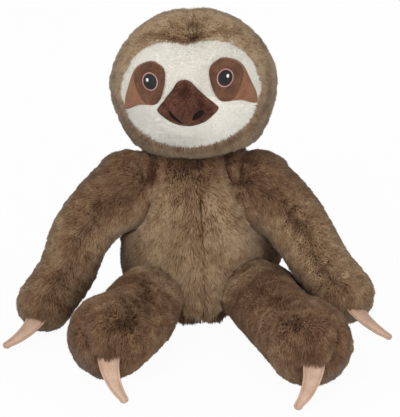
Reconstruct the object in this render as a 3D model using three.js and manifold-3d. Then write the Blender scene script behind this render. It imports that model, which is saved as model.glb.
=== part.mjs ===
// A plush sloth, sitting with its arms hanging and its legs splayed forward.
// Millimetres, +Z up, the toy faces -Y and sits on the floor at Z = 0.
// Left and right are as seen from in front, so right is +X.
// The outer face of every furry piece is where the tips of the pile end.
import * as THREE from 'three';
import * as BufferGeometryUtils from 'three/addons/utils/BufferGeometryUtils.js';
import Module from 'manifold-3d';

const wasm = await Module();
wasm.setup();

// Overall sizes of the stuffed forms
const torso_height = 168;
const torso_width = 139;
const torso_depth = 128;
const head_width = 152;
const head_depth = 132;
const head_height = 134;
const head_centre_height = 222;
const arm_length = 132;
const leg_length = 128;

// Cloth, pile and fit
const cover_thickness = 9.5;
const fit_gap = 0.4;
const seam_gap = 0.3;
const sole_flat_depth = 0.5;
const cut_overrun = 30;

// Neck, where the head turns and nods on the rounded top of the torso
const neck_height = 132;
const neck_radius = 36;
const neck_opening_radius = 14;
const neck_ring_angles = [20, 42, 64];
const head_yaw = THREE.MathUtils.degToRad(-3.5);
const head_roll = THREE.MathUtils.degToRad(-4);
const torso_turn = THREE.MathUtils.degToRad(9);

// Shoulders and arms
const shoulder_spread = 60;
const shoulder_height = 116;
const shoulder_radius = 38;
const armhole_radius = 17;
const armhole_depth = 20.3;
const armhole_slope = THREE.MathUtils.degToRad(28);
const hand_radius = 26.5;
const hand_hollow_sweep = [0, 5, 10, 15, 20, 24];

// Hips and legs
const hip_spread = 44;
const hip_forward = 34;
const hip_radius = 30;
const leg_swing_room = THREE.MathUtils.degToRad(13);
const leg_raise_room = [-31, -16, 0, 6];
const leg_fibre_room = 42;
const leghole_radius = 13;
const foot_radius = 38;

// Seat
const seat_panel_height = 12;
const seat_panel_thickness = 6;
const pellet_bag_width = 70;
const pellet_bag_depth = 40;
const pellet_bag_height = 20;
const pellet_bag_back = 22;

// Face
const face_width = 129;
const face_height = 100;
const face_recess = 2;
const chin_recess = 1;
const muzzle_bulge = 8;
const muzzle_width = 34;
const muzzle_height = 27;
const muzzle_drop = 14;
const face_cut_back = 8;
const patch_thickness = 1.4;
const patch_width = 41;
const patch_height = 45;
const patch_spread_share = 0.31;
const patch_lift = 11;
const eye_spread_share = 0.256;
const eye_lift = 18.5;
const eye_width = 15;
const eye_height = 16.4;
const eye_thread_thickness = 0.8;
const pupil_width = 11.8;
const pupil_height = 13;
const highlight_width = 3.4;
const highlight_height = 3.8;
const highlight_side_share = 0.19;
const highlight_lift_share = 0.08;
const nose_width = 52;
const nose_height = 38;
const nose_padding = 9;
const nose_cloth_thickness = 1.5;
const nose_lift = 2;
const nose_crown_width_share = 0.72;
const nose_crown_height_share = 0.78;
const nose_crown_drop_share = 0.06;
const nostril_length = 14;
const nostril_width = 4.6;
const nostril_spread = 10;
const nostril_drop = 8;
const nostril_thickness = 0.7;
const nostril_tilt = THREE.MathUtils.degToRad(42);

// Claws, each two layers of suede sewn together round the edge
const claw_length = 41;
const claw_width = 19;
const claw_layer_thickness = 1.3;
const claw_layer_gap = 0.3;
const claw_root_depth = 5;
const claw_bow = 5;
const claw_tip_share = 0.36;
const claw_swing = THREE.MathUtils.degToRad(23);

// How finely the forms are divided
const form_segments = 20;
const limb_segments = 16;
const inner_segments = 12;

// Joins and cuts

function solidOf(geometry) {
  const plain = geometry.clone();
  plain.deleteAttribute('normal');
  plain.deleteAttribute('uv');
  const merged = BufferGeometryUtils.mergeVertices(plain, 1e-4);
  return new wasm.Manifold(new wasm.Mesh({
    numProp: 3,
    vertProperties: new Float32Array(merged.attributes.position.array),
    triVerts: new Uint32Array(merged.index.array),
  }));
}

function geometryOf(solid) {
  const mesh = solid.getMesh();
  const geometry = new THREE.BufferGeometry();
  geometry.setAttribute('position', new THREE.BufferAttribute(new Float32Array(mesh.vertProperties), 3));
  geometry.setIndex(new THREE.BufferAttribute(new Uint32Array(mesh.triVerts), 1));
  geometry.computeVertexNormals();
  return geometry;
}

function moved(geometry, matrix) {
  return geometry.clone().applyMatrix4(matrix);
}

// Closed skin over rings of points, from one pole to the other.
function closedSkin(rings, startPole, endPole) {
  const count = rings[0].length;
  const points = [startPole, ...rings.flat(), endPole];
  const last = points.length - 1;
  const faces = [];
  for (let j = 0; j < count; j += 1) {
    const next = (j + 1) % count;
    faces.push(0, 1 + next, 1 + j);
    faces.push(last, last - count + j, last - count + next);
    for (let i = 0; i + 1 < rings.length; i += 1) {
      const a = 1 + i * count;
      const b = a + count;
      faces.push(a + j, a + next, b + next);
      faces.push(a + j, b + next, b + j);
    }
  }
  const geometry = new THREE.BufferGeometry();
  geometry.setAttribute('position', new THREE.Float32BufferAttribute(points.flatMap((p) => p.toArray()), 3));
  geometry.setIndex(faces);
  return geometry;
}

function ball(centre, radius, segments = 16) {
  const geometry = new THREE.SphereGeometry(radius, segments, segments / 2);
  geometry.translate(centre.x, centre.y, centre.z);
  return solidOf(geometry);
}

// A hollow whose flattest facets still clear a ball of this radius turning in it.
function socket(centre, radius, segments = 16) {
  return ball(centre, radius / Math.cos(Math.PI / segments) ** 2, segments);
}

// Everything on the side of a plane that its normal points to.
function halfSpace(point, normal) {
  const reach = 3 * torso_height;
  const geometry = new THREE.BoxGeometry(reach, reach, reach);
  const turn = new THREE.Quaternion().setFromUnitVectors(new THREE.Vector3(0, 0, 1), normal);
  const middle = point.clone().addScaledVector(normal, reach / 2);
  const matrix = new THREE.Matrix4().compose(middle, turn, new THREE.Vector3(1, 1, 1));
  return solidOf(moved(geometry, matrix));
}

function rod(start, direction, length, radius) {
  const geometry = new THREE.CylinderGeometry(radius, radius, length, 20);
  const turn = new THREE.Quaternion().setFromUnitVectors(new THREE.Vector3(0, 1, 0), direction);
  const middle = start.clone().addScaledVector(direction, length / 2);
  return solidOf(moved(geometry, new THREE.Matrix4().compose(middle, turn, new THREE.Vector3(1, 1, 1))));
}

const up = new THREE.Vector3(0, 0, 1);
const down = new THREE.Vector3(0, 0, -1);
const origin = new THREE.Vector3();
const neck = new THREE.Vector3(0, 0, neck_height);

// Materials

function fabric(colour, roughness) {
  return new THREE.MeshStandardMaterial({ color: colour, roughness, metalness: 0 });
}

const brown_plush = () => fabric(0x6b5344, 0.95);
const white_plush = () => fabric(0xeeeae3, 0.95);
const brown_suede = () => fabric(0x5a3a2b, 0.9);
const nose_velour = () => fabric(0x4a2c20, 0.9);
const claw_suede = () => fabric(0xd9bfae, 0.85);
const fibre_fill = () => fabric(0xf2f0ea, 1);
const pellet_cloth = () => fabric(0xd8d4c8, 0.9);
const thread = (colour) => fabric(colour, 0.6);

// Torso: a pear standing on its flat seat, its top a ball that the head rides on.
// Each row is a height, a width and a depth, as shares of the torso's sizes.

const torso_level_shares = [
  [0, 0.74, 0.8],
  [0.06, 0.85, 0.92],
  [0.15, 0.955, 0.99],
  [0.327, 1, 1],
  [0.548, 0.93, 0.925],
  [0.65, 0.86, 0.845],
  [0.774, 0.66, 0.66],
];

// The toy sits with its torso turned a little about the vertical.
function turned(vector) {
  return vector.applyAxisAngle(up, torso_turn);
}

function torsoForm(inset, segments) {
  const levels = torso_level_shares.map(([height, width, depth]) => ({
    z: height * torso_height,
    halfWidth: (width * torso_width) / 2 - inset,
    halfDepth: (depth * torso_depth) / 2 - inset,
  }));
  for (const angle of neck_ring_angles) {
    const turn = THREE.MathUtils.degToRad(angle);
    const reach = (neck_radius - inset) * Math.cos(turn);
    const z = neck_height + (neck_radius - inset) * Math.sin(turn);
    levels.push({ z, halfWidth: reach, halfDepth: reach });
  }
  const rings = levels.map((level) => {
    const ring = [];
    for (let j = 0; j < segments; j += 1) {
      const turn = (2 * Math.PI * j) / segments;
      const x = level.halfWidth * Math.cos(turn);
      const y = level.halfDepth * Math.sin(turn);
      ring.push(turned(new THREE.Vector3(x, y, level.z)));
    }
    return ring;
  });
  const top = new THREE.Vector3(0, 0, neck_height + neck_radius - inset);
  return solidOf(closedSkin(rings, origin.clone(), top));
}

// The torso is flat where each arm lies against it.
function armholeNormal(side) {
  return new THREE.Vector3(side * Math.cos(armhole_slope), 0, Math.sin(armhole_slope));
}

function shoulderPoint(side) {
  return new THREE.Vector3(side * shoulder_spread, 0, shoulder_height);
}

function hipPoint(side) {
  return turned(new THREE.Vector3(side * hip_spread, -hip_forward, hip_radius - sole_flat_depth));
}

function limbCuts(side, gap) {
  const normal = armholeNormal(side);
  const seam = shoulderPoint(side).addScaledVector(normal, -armhole_depth);
  return [
    halfSpace(seam, normal),
    socket(shoulderPoint(side), shoulder_radius + gap),
    socket(hipPoint(side), hip_radius + gap),
  ];
}

function legForward(side) {
  const { centres } = leg(side);
  return centres[centres.length - 1].clone().sub(centres[0]).setZ(0).normalize();
}

// The room in the torso's cover that a leg needs as it spreads and rises.
function legRoom(side, gap) {
  const { centres, radii } = leg(side);
  const hip = centres[0];
  const across = new THREE.Vector3().crossVectors(legForward(side), up);
  const form = limbForm(centres.slice(0, 3), radii.slice(0, 3), -gap, limb_segments, leg_swing_room, 3);
  return swept(form, hip, across, leg_raise_room);
}

// One solid over all the places that a form takes as it turns about an axis.
function swept(form, centre, axis, angles) {
  const shift = (vector) => new THREE.Matrix4().makeTranslation(vector.x, vector.y, vector.z);
  const places = angles.map((angle) => {
    const turn = new THREE.Matrix4().makeRotationAxis(axis, THREE.MathUtils.degToRad(angle));
    const about = shift(centre).multiply(turn).multiply(shift(centre.clone().negate()));
    return form.transform(about.elements);
  });
  return places.reduce((whole, next) => whole.add(next));
}

// The hollow that the right hand presses in the foot it rests on, and swings out of.
function handHollow() {
  const { centres, radii } = arm(1);
  const form = limbForm(centres.slice(2), radii.slice(2), -4 * fit_gap, inner_segments, 0, 4);
  return swept(form, centres[0], armholeNormal(1).negate(), hand_hollow_sweep);
}

function torsoPieces() {
  const outer = torsoForm(0, form_segments);
  const inner = torsoForm(cover_thickness, inner_segments).subtract(
    halfSpace(new THREE.Vector3(0, 0, seat_panel_thickness), down));
  const core = torsoForm(cover_thickness + fit_gap, inner_segments).subtract(
    halfSpace(new THREE.Vector3(0, 0, seat_panel_thickness + fit_gap), down));
  const neckHole = rod(neck, up, neck_radius + cut_overrun, neck_opening_radius);
  let shell = outer.subtract(inner).subtract(neckHole);
  let stuffing = core.subtract(halfSpace(neck, up))
    .subtract(socket(neck, wadFitting(neck_radius) + fit_gap, 12));
  for (const side of [-1, 1]) {
    const forward = legForward(side);
    const behind = hipPoint(side).addScaledVector(forward, -cover_thickness);
    const fibreRoom = rod(behind, forward, leg_length, leg_fibre_room);
    for (const cut of [...limbCuts(side, fit_gap), legRoom(side, 2 * fit_gap)]) {
      shell = shell.subtract(cut);
    }
    for (const cut of [...limbCuts(side, 2 * fit_gap), fibreRoom]) {
      stuffing = stuffing.subtract(cut);
    }
  }
  stuffing = stuffing.subtract(pelletBag(fit_gap));
  const seatTop = new THREE.Vector3(0, 0, seat_panel_height);
  const seat = shell.subtract(halfSpace(seatTop, up));
  const sides = shell.subtract(halfSpace(seatTop.clone().setZ(seat_panel_height + seam_gap), down));
  const cover = (side) => {
    const seam = turned(new THREE.Vector3((side * seam_gap) / 2, 0, 0));
    return sides.subtract(halfSpace(seam, turned(new THREE.Vector3(-side, 0, 0))));
  };
  return [
    ['torso_left_cover', cover(-1), brown_plush()],
    ['torso_right_cover', cover(1), brown_plush()],
    ['seat_panel', seat, brown_plush()],
    ['torso_stuffing', stuffing, fibre_fill()],
    ['seat_pellet_bag', pelletBag(0), pellet_cloth()],
  ];
}

// The cloth bag of pellets that keeps the toy sitting, flat on the seat panel.
function pelletBag(grown) {
  const geometry = new THREE.SphereGeometry(1, 16, 10);
  geometry.scale(pellet_bag_width / 2 + grown, pellet_bag_depth / 2 + grown, pellet_bag_height + grown);
  geometry.translate(0, pellet_bag_back, seat_panel_thickness + fit_gap);
  const base = new THREE.Vector3(0, 0, seat_panel_thickness + fit_gap - grown);
  return solidOf(geometry).subtract(halfSpace(base, down));
}

// The largest wad that turns freely inside a cover of this outer radius, facets and all.
function wadFitting(radius) {
  return (radius - cover_thickness) * Math.cos(Math.PI / inner_segments) ** 2 - fit_gap;
}

// The wad of fibre in the neck seam, a ball with a short stub up through the neck opening.
function neckPiece() {
  const stubRadius = neck_opening_radius - 2 * fit_gap;
  const stub = rod(neck, up, Math.sqrt(neck_radius ** 2 - stubRadius ** 2), stubRadius);
  return ['neck_stuffing', ball(neck, wadFitting(neck_radius), 12).add(stub), fibre_fill()];
}

// Limbs: a sausage through a few centre points, its ends rounded by the radius there.
// A swing widens it sideways, the more the further from its root.

function limbForm(centres, radii, inset, segments, swing = 0, steps = 9) {
  const route = new THREE.CatmullRomCurve3(centres);
  const girth = new THREE.CatmullRomCurve3(radii.map((radius) => new THREE.Vector3(radius, 0, 0)));
  const capSteps = 3;
  const startRadius = radii[0] - inset;
  const endRadius = radii[radii.length - 1] - inset;
  const startAlong = route.getTangent(0);
  const endAlong = route.getTangent(1);
  const start = route.getPoint(0);
  const end = route.getPoint(1);
  const rings = [];
  let across = new THREE.Vector3(1, 0, 0);
  const ringAt = (middle, along, radius) => {
    across = across.clone().addScaledVector(along, -across.dot(along)).normalize();
    const third = new THREE.Vector3().crossVectors(along, across);
    const reach = radius + middle.distanceTo(start) * Math.tan(swing);
    const ring = [];
    for (let j = 0; j < segments; j += 1) {
      const turn = (2 * Math.PI * j) / segments;
      ring.push(middle.clone().addScaledVector(across, reach * Math.cos(turn))
        .addScaledVector(third, radius * Math.sin(turn)));
    }
    return ring;
  };
  for (let i = 1; i < capSteps; i += 1) {
    const turn = (Math.PI / 2) * (1 - i / capSteps);
    const middle = start.clone().addScaledVector(startAlong, -startRadius * Math.sin(turn));
    rings.push(ringAt(middle, startAlong, startRadius * Math.cos(turn)));
  }
  for (let i = 0; i <= steps; i += 1) {
    const t = i / steps;
    rings.push(ringAt(route.getPoint(t), route.getTangent(t), girth.getPoint(t).x - inset));
  }
  for (let i = capSteps - 1; i >= 1; i -= 1) {
    const turn = (Math.PI / 2) * (1 - i / capSteps);
    const middle = end.clone().addScaledVector(endAlong, endRadius * Math.sin(turn));
    rings.push(ringAt(middle, endAlong, endRadius * Math.cos(turn)));
  }
  const startPole = start.clone().addScaledVector(startAlong, -startRadius);
  const endPole = end.clone().addScaledVector(endAlong, endRadius);
  return solidOf(closedSkin(rings, startPole, endPole));
}

function routeOf(root, length, shares) {
  return shares.map(([x, y, z]) => new THREE.Vector3(x, y, z).multiplyScalar(length).add(root));
}

// One limb's cover, the fibre down its length and the wad in its root.
function limbPieces(name, limb) {
  const outer = limbForm(limb.centres, limb.radii, 0, limb_segments);
  const inner = limbForm(limb.centres, limb.radii, cover_thickness, inner_segments);
  const core = limbForm(limb.centres, limb.radii, cover_thickness + fit_gap, inner_segments);
  const root = limb.centres[0];
  const wadRadius = wadFitting(limb.radii[0]);
  const opening = rod(root, limb.inward, limb.radii[0] + cut_overrun, limb.openingRadius);
  const claw = CLAWS[limb.clawName];
  const cover = outer.subtract(limb.pressed).subtract(inner).subtract(opening).subtract(clawPocket(claw));
  const fill = core.subtract(socket(root, limb.radii[0] - cover_thickness, 16));
  return [
    [`${name}_cover`, cover, brown_plush()],
    [`${name}_stuffing`, fill, fibre_fill()],
    [limb.wadName, ball(root, wadRadius), fibre_fill()],
  ];
}

// Arms. The routes are shares of the arm's length from the shoulder, the radii of the hand's.

const left_arm_route_shares = [[0, 0, 0], [-0.18, -0.1, -0.1], [-0.33, -0.2, -0.26],
  [-0.43, -0.33, -0.48], [-0.57, -0.47, -0.66]];
const right_arm_route_shares = [[0, 0, 0], [0.18, -0.12, -0.1], [0.315, -0.29, -0.23],
  [0.43, -0.495, -0.37], [0.568, -0.732, -0.475]];
const arm_radius_shares = [1.18, 1.08, 1.02, 1];

function arm(side) {
  const root = shoulderPoint(side);
  return {
    centres: routeOf(root, arm_length, side < 0 ? left_arm_route_shares : right_arm_route_shares),
    radii: [shoulder_radius, ...arm_radius_shares.map((share) => share * hand_radius)],
    inward: armholeNormal(side).negate(),
    pressed: halfSpace(origin, down),
    openingRadius: armhole_radius,
    wadName: side < 0 ? 'left_shoulder_stuffing' : 'right_shoulder_stuffing',
    clawName: side < 0 ? 'left_hand' : 'right_hand',
  };
}

// Legs. The routes are shares of the leg's length from the hip, the radii of the foot's.

const left_leg_route_shares = [[0, 0, 0], [-0.02, -0.16, 0.012], [-0.07, -0.43, 0.027],
  [-0.15, -0.64, 0.039], [-0.258, -0.86, 0.062]];
const right_leg_route_shares = [[0, 0, 0], [0.055, -0.15, 0.012], [0.155, -0.42, 0.027],
  [0.27, -0.73, 0.039], [0.397, -1.073, 0.062]];
const leg_radius_shares = [0.83, 0.88, 0.92, 1];

function leg(side) {
  const root = hipPoint(side);
  return {
    centres: routeOf(root, leg_length, side < 0 ? left_leg_route_shares : right_leg_route_shares),
    radii: [hip_radius, ...leg_radius_shares.map((share) => share * foot_radius)],
    inward: new THREE.Vector3(0, 1, 0),
    pressed: side < 0 ? halfSpace(origin, down) : halfSpace(origin, down).add(handHollow()),
    openingRadius: leghole_radius,
    wadName: side < 0 ? 'left_hip_stuffing' : 'right_hip_stuffing',
    clawName: side < 0 ? 'left_foot' : 'right_foot',
  };
}

// Claws. Each lies in a plane through its root, bowed to one side, with a rounded tip.

// The bends of a claw's outline, as shares of its length, its tip and its root.
const claw_near_share = 0.35;
const claw_outer_share = 0.75;
const claw_inner_share = 0.7;
const claw_outer_bend_share = 2.4;
const claw_inner_bend_share = 0.4;
const claw_hollow_share = 0.6;

function clawOutline() {
  const root = claw_width / 2;
  const tip = (claw_width * claw_tip_share) / 2;
  const near = claw_length * claw_near_share;
  const shape = new THREE.Shape();
  shape.moveTo(0, -root);
  shape.bezierCurveTo(near, -root, claw_length * claw_outer_share, claw_bow - tip * claw_outer_bend_share,
    claw_length - tip, claw_bow - tip);
  shape.quadraticCurveTo(claw_length + tip * claw_inner_bend_share, claw_bow,
    claw_length - tip * claw_hollow_share, claw_bow + tip);
  shape.bezierCurveTo(claw_length * claw_inner_share, claw_bow + tip * claw_inner_bend_share,
    near, root * claw_hollow_share, 0, root);
  shape.closePath();
  return shape;
}

function clawFrame(claw) {
  const along = new THREE.Vector3(...claw.along).normalize();
  const face = new THREE.Vector3(...claw.face);
  face.addScaledVector(along, -face.dot(along)).normalize();
  const across = new THREE.Vector3().crossVectors(face, along).multiplyScalar(claw.bend);
  const normal = new THREE.Vector3().crossVectors(along, across);
  const limb = claw.limb;
  const centre = limb.centres[limb.centres.length - 1];
  const out = new THREE.Vector3(...claw.out).normalize();
  const root = centre.clone().addScaledVector(out, limb.radii[limb.radii.length - 1] - claw_root_depth);
  return new THREE.Matrix4().makeBasis(along, across, normal).setPosition(root);
}

function clawPieces(name, claw) {
  const layer = new THREE.ExtrudeGeometry(clawOutline(), {
    depth: claw_layer_thickness, bevelEnabled: false, curveSegments: 6 });
  const front = layer.clone().translate(0, 0, claw_layer_gap / 2);
  const back = layer.clone().translate(0, 0, -claw_layer_gap / 2 - claw_layer_thickness);
  const frame = clawFrame(claw);
  return [
    [`${name}_claw_front`, solidOf(moved(front, frame)), claw_suede()],
    [`${name}_claw_back`, solidOf(moved(back, frame)), claw_suede()],
  ];
}

// The pocket in the pile that a claw's root swings in.
function clawPocket(claw) {
  const half = claw_layer_thickness + claw_layer_gap / 2 + fit_gap;
  const reach = 3 * claw_root_depth;
  const shape = new THREE.Shape();
  shape.moveTo(-half, -half);
  shape.lineTo(reach, -half - reach * Math.tan(claw_swing));
  shape.lineTo(reach, half + reach * Math.tan(claw_swing));
  shape.lineTo(-half, half);
  shape.closePath();
  const width = claw_width + 2 * fit_gap;
  const geometry = new THREE.ExtrudeGeometry(shape, { depth: width, bevelEnabled: false });
  geometry.translate(0, 0, -width / 2);
  geometry.rotateX(Math.PI / 2);
  return solidOf(moved(geometry, clawFrame(claw)));
}

// Where each claw leaves its limb's end, where it points, where its flat side faces
// and to which side it is bowed.
const CLAWS = {
  left_hand: {
    limb: arm(-1),
    out: [-0.3, -0.85, -0.3],
    along: [-0.5, -0.76, -0.42],
    face: [0, -0.25, 1],
    bend: -1,
  },
  right_hand: {
    limb: arm(1),
    out: [0.36, -0.85, -0.25],
    along: [0.62, -0.66, -0.5],
    face: [0.35, -0.35, 1],
    bend: 1,
  },
  left_foot: {
    limb: leg(-1),
    out: [0, -0.97, -0.22],
    along: [0.17, -0.72, -0.66],
    face: [0, -1, 0.4],
    bend: 1,
  },
  right_foot: {
    limb: leg(1),
    out: [0.06, -0.97, -0.2],
    along: [-0.18, -0.72, -0.66],
    face: [0, -1, 0.4],
    bend: -1,
  },
};

// Head: an egg about its own centre, a little fuller at the jowls, with a low muzzle.
// Each row is a height and a girth, as shares of the head's half height and half width.

const head_level_shares = [
  [-0.95, 0.5], [-0.83, 0.75], [-0.65, 0.855], [-0.4, 0.95], [-0.12, 1], [0.15, 0.99],
  [0.4, 0.9], [0.62, 0.765], [0.8, 0.585], [0.93, 0.36],
];

function headForm(inset, segments) {
  const halfWidth = head_width / 2 - inset;
  const halfDepth = head_depth / 2 - inset;
  const halfHeight = head_height / 2 - inset;
  const rings = head_level_shares.map(([height, girth]) => {
    const z = height * halfHeight;
    const ring = [];
    for (let j = 0; j < segments; j += 1) {
      const turn = (2 * Math.PI * j) / segments;
      const x = girth * halfWidth * Math.cos(turn);
      const y = girth * halfDepth * Math.sin(turn);
      const spread = (x / muzzle_width) ** 2 + ((z + muzzle_drop) / muzzle_height) ** 2;
      const bulge = y < 0 ? muzzle_bulge * Math.exp(-spread) : 0;
      ring.push(new THREE.Vector3(x, y - bulge, z));
    }
    return ring;
  });
  const crown = new THREE.Vector3(0, 0, halfHeight);
  return solidOf(closedSkin(rings, crown.clone().negate(), crown));
}

// A prism through the front of the head along Y, from an outline in X and Z.
function faceCut(points) {
  const shape = new THREE.Shape(points.map(([x, z]) => new THREE.Vector2(x, z)));
  const depth = head_depth;
  const geometry = new THREE.ExtrudeGeometry(shape, { depth, bevelEnabled: false, curveSegments: 6 });
  geometry.rotateX(Math.PI / 2);
  geometry.translate(0, -face_cut_back, 0);
  return solidOf(geometry);
}

// A smooth closed outline through the right half's points and their mirror images.
function mirroredOutline(halfPoints, segments) {
  const right = halfPoints.map(([x, z]) => new THREE.Vector3(x, z, 0));
  const left = halfPoints.filter(([x]) => x > 0).map(([x, z]) => new THREE.Vector3(-x, z, 0)).reverse();
  return smoothOutline([...right, ...left], segments);
}

function smoothOutline(points, segments) {
  const curve = new THREE.CatmullRomCurve3(points, true, 'centripetal');
  return curve.getPoints(segments).slice(0, segments).map((p) => [p.x, p.y]);
}

function ellipseOutline(x, z, width, height, tilt, segments) {
  const points = [];
  for (let j = 0; j < segments; j += 1) {
    const turn = (2 * Math.PI * j) / segments;
    const a = (width / 2) * Math.cos(turn);
    const b = (height / 2) * Math.sin(turn);
    const across = a * Math.cos(tilt) - b * Math.sin(tilt);
    const rise = a * Math.sin(tilt) + b * Math.cos(tilt);
    points.push([x + across, z + rise]);
  }
  return points;
}

// Outlines of the face, in shares of each outline's own sizes, right half from the top down.
const face_outline_shares = [
  [0, 0.465], [0.2, 0.49], [0.355, 0.395], [0.45, 0.24], [0.495, 0.03], [0.46, -0.1],
  [0.42, -0.225], [0.345, -0.32], [0.21, -0.4], [0, -0.435],
];
const patch_outline_shares = [
  [-0.2, 0.5], [0.05, 0.42], [0.2, 0.26], [0.36, -0.09], [0.49, -0.34], [0.45, -0.49],
  [0.07, -0.34], [-0.27, -0.19], [-0.47, 0.05], [-0.5, 0.32], [-0.39, 0.45],
];
const nose_outline_shares = [
  [0, 0.5], [0.1, 0.46], [0.2, 0.31], [0.35, 0.09], [0.46, -0.07], [0.5, -0.19],
  [0.33, -0.38], [0.18, -0.47], [0, -0.5],
];
const chin_edge_shares = [[0.6, -0.13], [0.45, -0.11], [0.33, -0.05], [0.22, 0.02], [0.12, 0.04]];

function inSizes(shares, width, height, x = 0, z = 0) {
  return shares.map(([a, b]) => [x + a * width, z + b * height]);
}

function chinCut(shift) {
  const edge = inSizes(chin_edge_shares, face_width, face_height, 0, shift);
  const mirrored = edge.map(([x, z]) => [-x, z]).reverse();
  const low = -face_height;
  return faceCut([...edge, ...mirrored, [-face_width, low], [face_width, low]].reverse());
}

function headPieces() {
  const outer = headForm(0, form_segments + 4);
  const faceSurface = headForm(face_recess, form_segments + 4);
  const chinSurface = headForm(chin_recess, form_segments + 4);
  const inner = headForm(cover_thickness, form_segments);
  const core = headForm(cover_thickness + fit_gap, form_segments);
  const dish = socket(headPoint(neck), neck_radius + fit_gap, 20);
  const outline = mirroredOutline(inSizes(face_outline_shares, face_width, face_height), 36);
  const opening = mirroredOutline(
    inSizes(face_outline_shares, face_width + 2 * seam_gap, face_height + 2 * seam_gap), 36);
  const hood = outer.subtract(inner).subtract(dish).subtract(faceCut(opening));
  const cover = (side) => hood.subtract(
    halfSpace(new THREE.Vector3((side * seam_gap) / 2, 0, 0), new THREE.Vector3(-side, 0, 0)));
  const face = faceSurface.subtract(inner).intersect(faceCut(outline)).subtract(chinCut(seam_gap));
  const chin = chinSurface.subtract(inner).intersect(faceCut(outline)).intersect(chinCut(0)).subtract(dish);
  return [
    ['head_left_cover', cover(-1), brown_plush()],
    ['head_right_cover', cover(1), brown_plush()],
    ['head_stuffing', core.subtract(dish), fibre_fill()],
    ['face_panel', face, white_plush()],
    ['chin_panel', chin, white_plush()],
  ];
}

// A layer of the head's own shape, from one height above the white pile to another.
function faceLayer(low, high) {
  const outer = headForm(face_recess - high, form_segments + 4);
  return outer.subtract(headForm(face_recess - low, form_segments + 4));
}

function eyePieces(side, name) {
  const mirrored = (points) => (side < 0 ? points.map(([x, z]) => [-x, z]).reverse() : points);
  const patchLow = face_recess - chin_recess + fit_gap;
  const patchHigh = patchLow + patch_thickness;
  const eyeLow = patchHigh + fit_gap;
  const eyeHigh = eyeLow + eye_thread_thickness;
  const shineHigh = eyeHigh + fit_gap + eye_thread_thickness;
  const patchSpread = face_width * patch_spread_share;
  const eyeSpread = face_width * eye_spread_share;
  const patchPoints = inSizes(patch_outline_shares, patch_width, patch_height, patchSpread, patch_lift);
  const patch = smoothOutline(patchPoints.map(([x, z]) => new THREE.Vector3(x, z, 0)), 28);
  const at = (width, height, x = 0, z = 0, count = 20) => faceCut(
    mirrored(ellipseOutline(eyeSpread + x, eye_lift + z, width, height, 0, count)));
  const threads = faceLayer(eyeLow, eyeHigh);
  const ring = threads.intersect(at(eye_width, eye_height))
    .subtract(at(pupil_width + 2 * fit_gap, pupil_height + 2 * fit_gap));
  const shineX = pupil_width * highlight_side_share;
  const shineZ = pupil_height * highlight_lift_share;
  return [
    [`${name}_eye_patch`, faceLayer(patchLow, patchHigh).intersect(faceCut(mirrored(patch))), brown_suede()],
    [`${name}_eye_ring`, ring, thread(0x8a6a66)],
    [`${name}_eye_pupil`, threads.intersect(at(pupil_width, pupil_height)), thread(0x17120f)],
    [`${name}_eye_highlight`, faceLayer(eyeHigh + fit_gap, shineHigh)
      .intersect(at(highlight_width, highlight_height, shineX, shineZ, 10)), thread(0xf4f4f4)],
  ];
}

// Nose: a padded kite, fullest in the middle, its cloth open at the back where it is sewn on.
function noseCrown(inset) {
  const outline = inSizes(nose_outline_shares, nose_width - 2 * inset, nose_height - 2 * inset, 0, nose_lift);
  const crown = new THREE.SphereGeometry(1, 24, 14);
  const depth = 2 * (muzzle_bulge + nose_padding);
  crown.scale(nose_width * nose_crown_width_share - inset, depth - inset,
    nose_height * nose_crown_height_share - inset);
  crown.translate(0, (depth - head_depth) / 2, nose_lift - nose_height * nose_crown_drop_share);
  return solidOf(crown).intersect(faceCut(mirroredOutline(outline, 28)));
}

function nosePieces() {
  const backing = headForm(chin_recess - fit_gap, form_segments + 4);
  const cover = noseCrown(0).subtract(noseCrown(nose_cloth_thickness)).subtract(backing);
  const stuffing = noseCrown(nose_cloth_thickness + fit_gap).subtract(backing);
  const skin = noseCrown(-fit_gap - nostril_thickness).subtract(noseCrown(-fit_gap)).subtract(backing);
  const nostril = (side) => skin.intersect(faceCut(ellipseOutline(side * nostril_spread,
    nose_lift - nostril_drop, nostril_length, nostril_width, side * nostril_tilt, 14)));
  return [
    ['nose_cover', cover, nose_velour()],
    ['nose_stuffing', stuffing, fibre_fill()],
    ['left_nostril', nostril(-1), thread(0x1c100c)],
    ['right_nostril', nostril(1), thread(0x1c100c)],
  ];
}

const headRotation = new THREE.Euler(0, head_roll, head_yaw, 'XYZ');

function headPoint(worldPoint) {
  const turn = new THREE.Quaternion().setFromEuler(headRotation).invert();
  return worldPoint.clone().sub(new THREE.Vector3(0, 0, head_centre_height)).applyQuaternion(turn);
}

// The toy, piece by piece

function addPieces(group, pieces) {
  for (const [name, solid, material] of pieces) {
    const mesh = new THREE.Mesh(geometryOf(solid), material);
    mesh.name = name;
    group.add(mesh);
  }
}

const sloth = new THREE.Group();
addPieces(sloth, torsoPieces());
addPieces(sloth, [neckPiece()]);
for (const [side, name] of [[-1, 'left'], [1, 'right']]) {
  addPieces(sloth, limbPieces(`${name}_arm`, arm(side)));
  addPieces(sloth, limbPieces(`${name}_leg`, leg(side)));
}
for (const [name, claw] of Object.entries(CLAWS)) {
  addPieces(sloth, clawPieces(name, claw));
}

const head = new THREE.Group();
head.position.set(0, 0, head_centre_height);
head.rotation.copy(headRotation);
addPieces(head, headPieces());
addPieces(head, eyePieces(-1, 'left'));
addPieces(head, eyePieces(1, 'right'));
addPieces(head, nosePieces());
sloth.add(head);

export default sloth;
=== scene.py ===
# %% [markdown]
# # A plush sloth that sits by itself
# The real toy is sewn from brown and white plush, stuffed with fibre, and has soft claws,
# suede eye patches, a padded nose and embroidered eyes. Every form here is worked out with
# numpy in millimetres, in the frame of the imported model: up is +Z and the toy faces -Y.

# %% The frame
import math
from functools import partial

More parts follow.
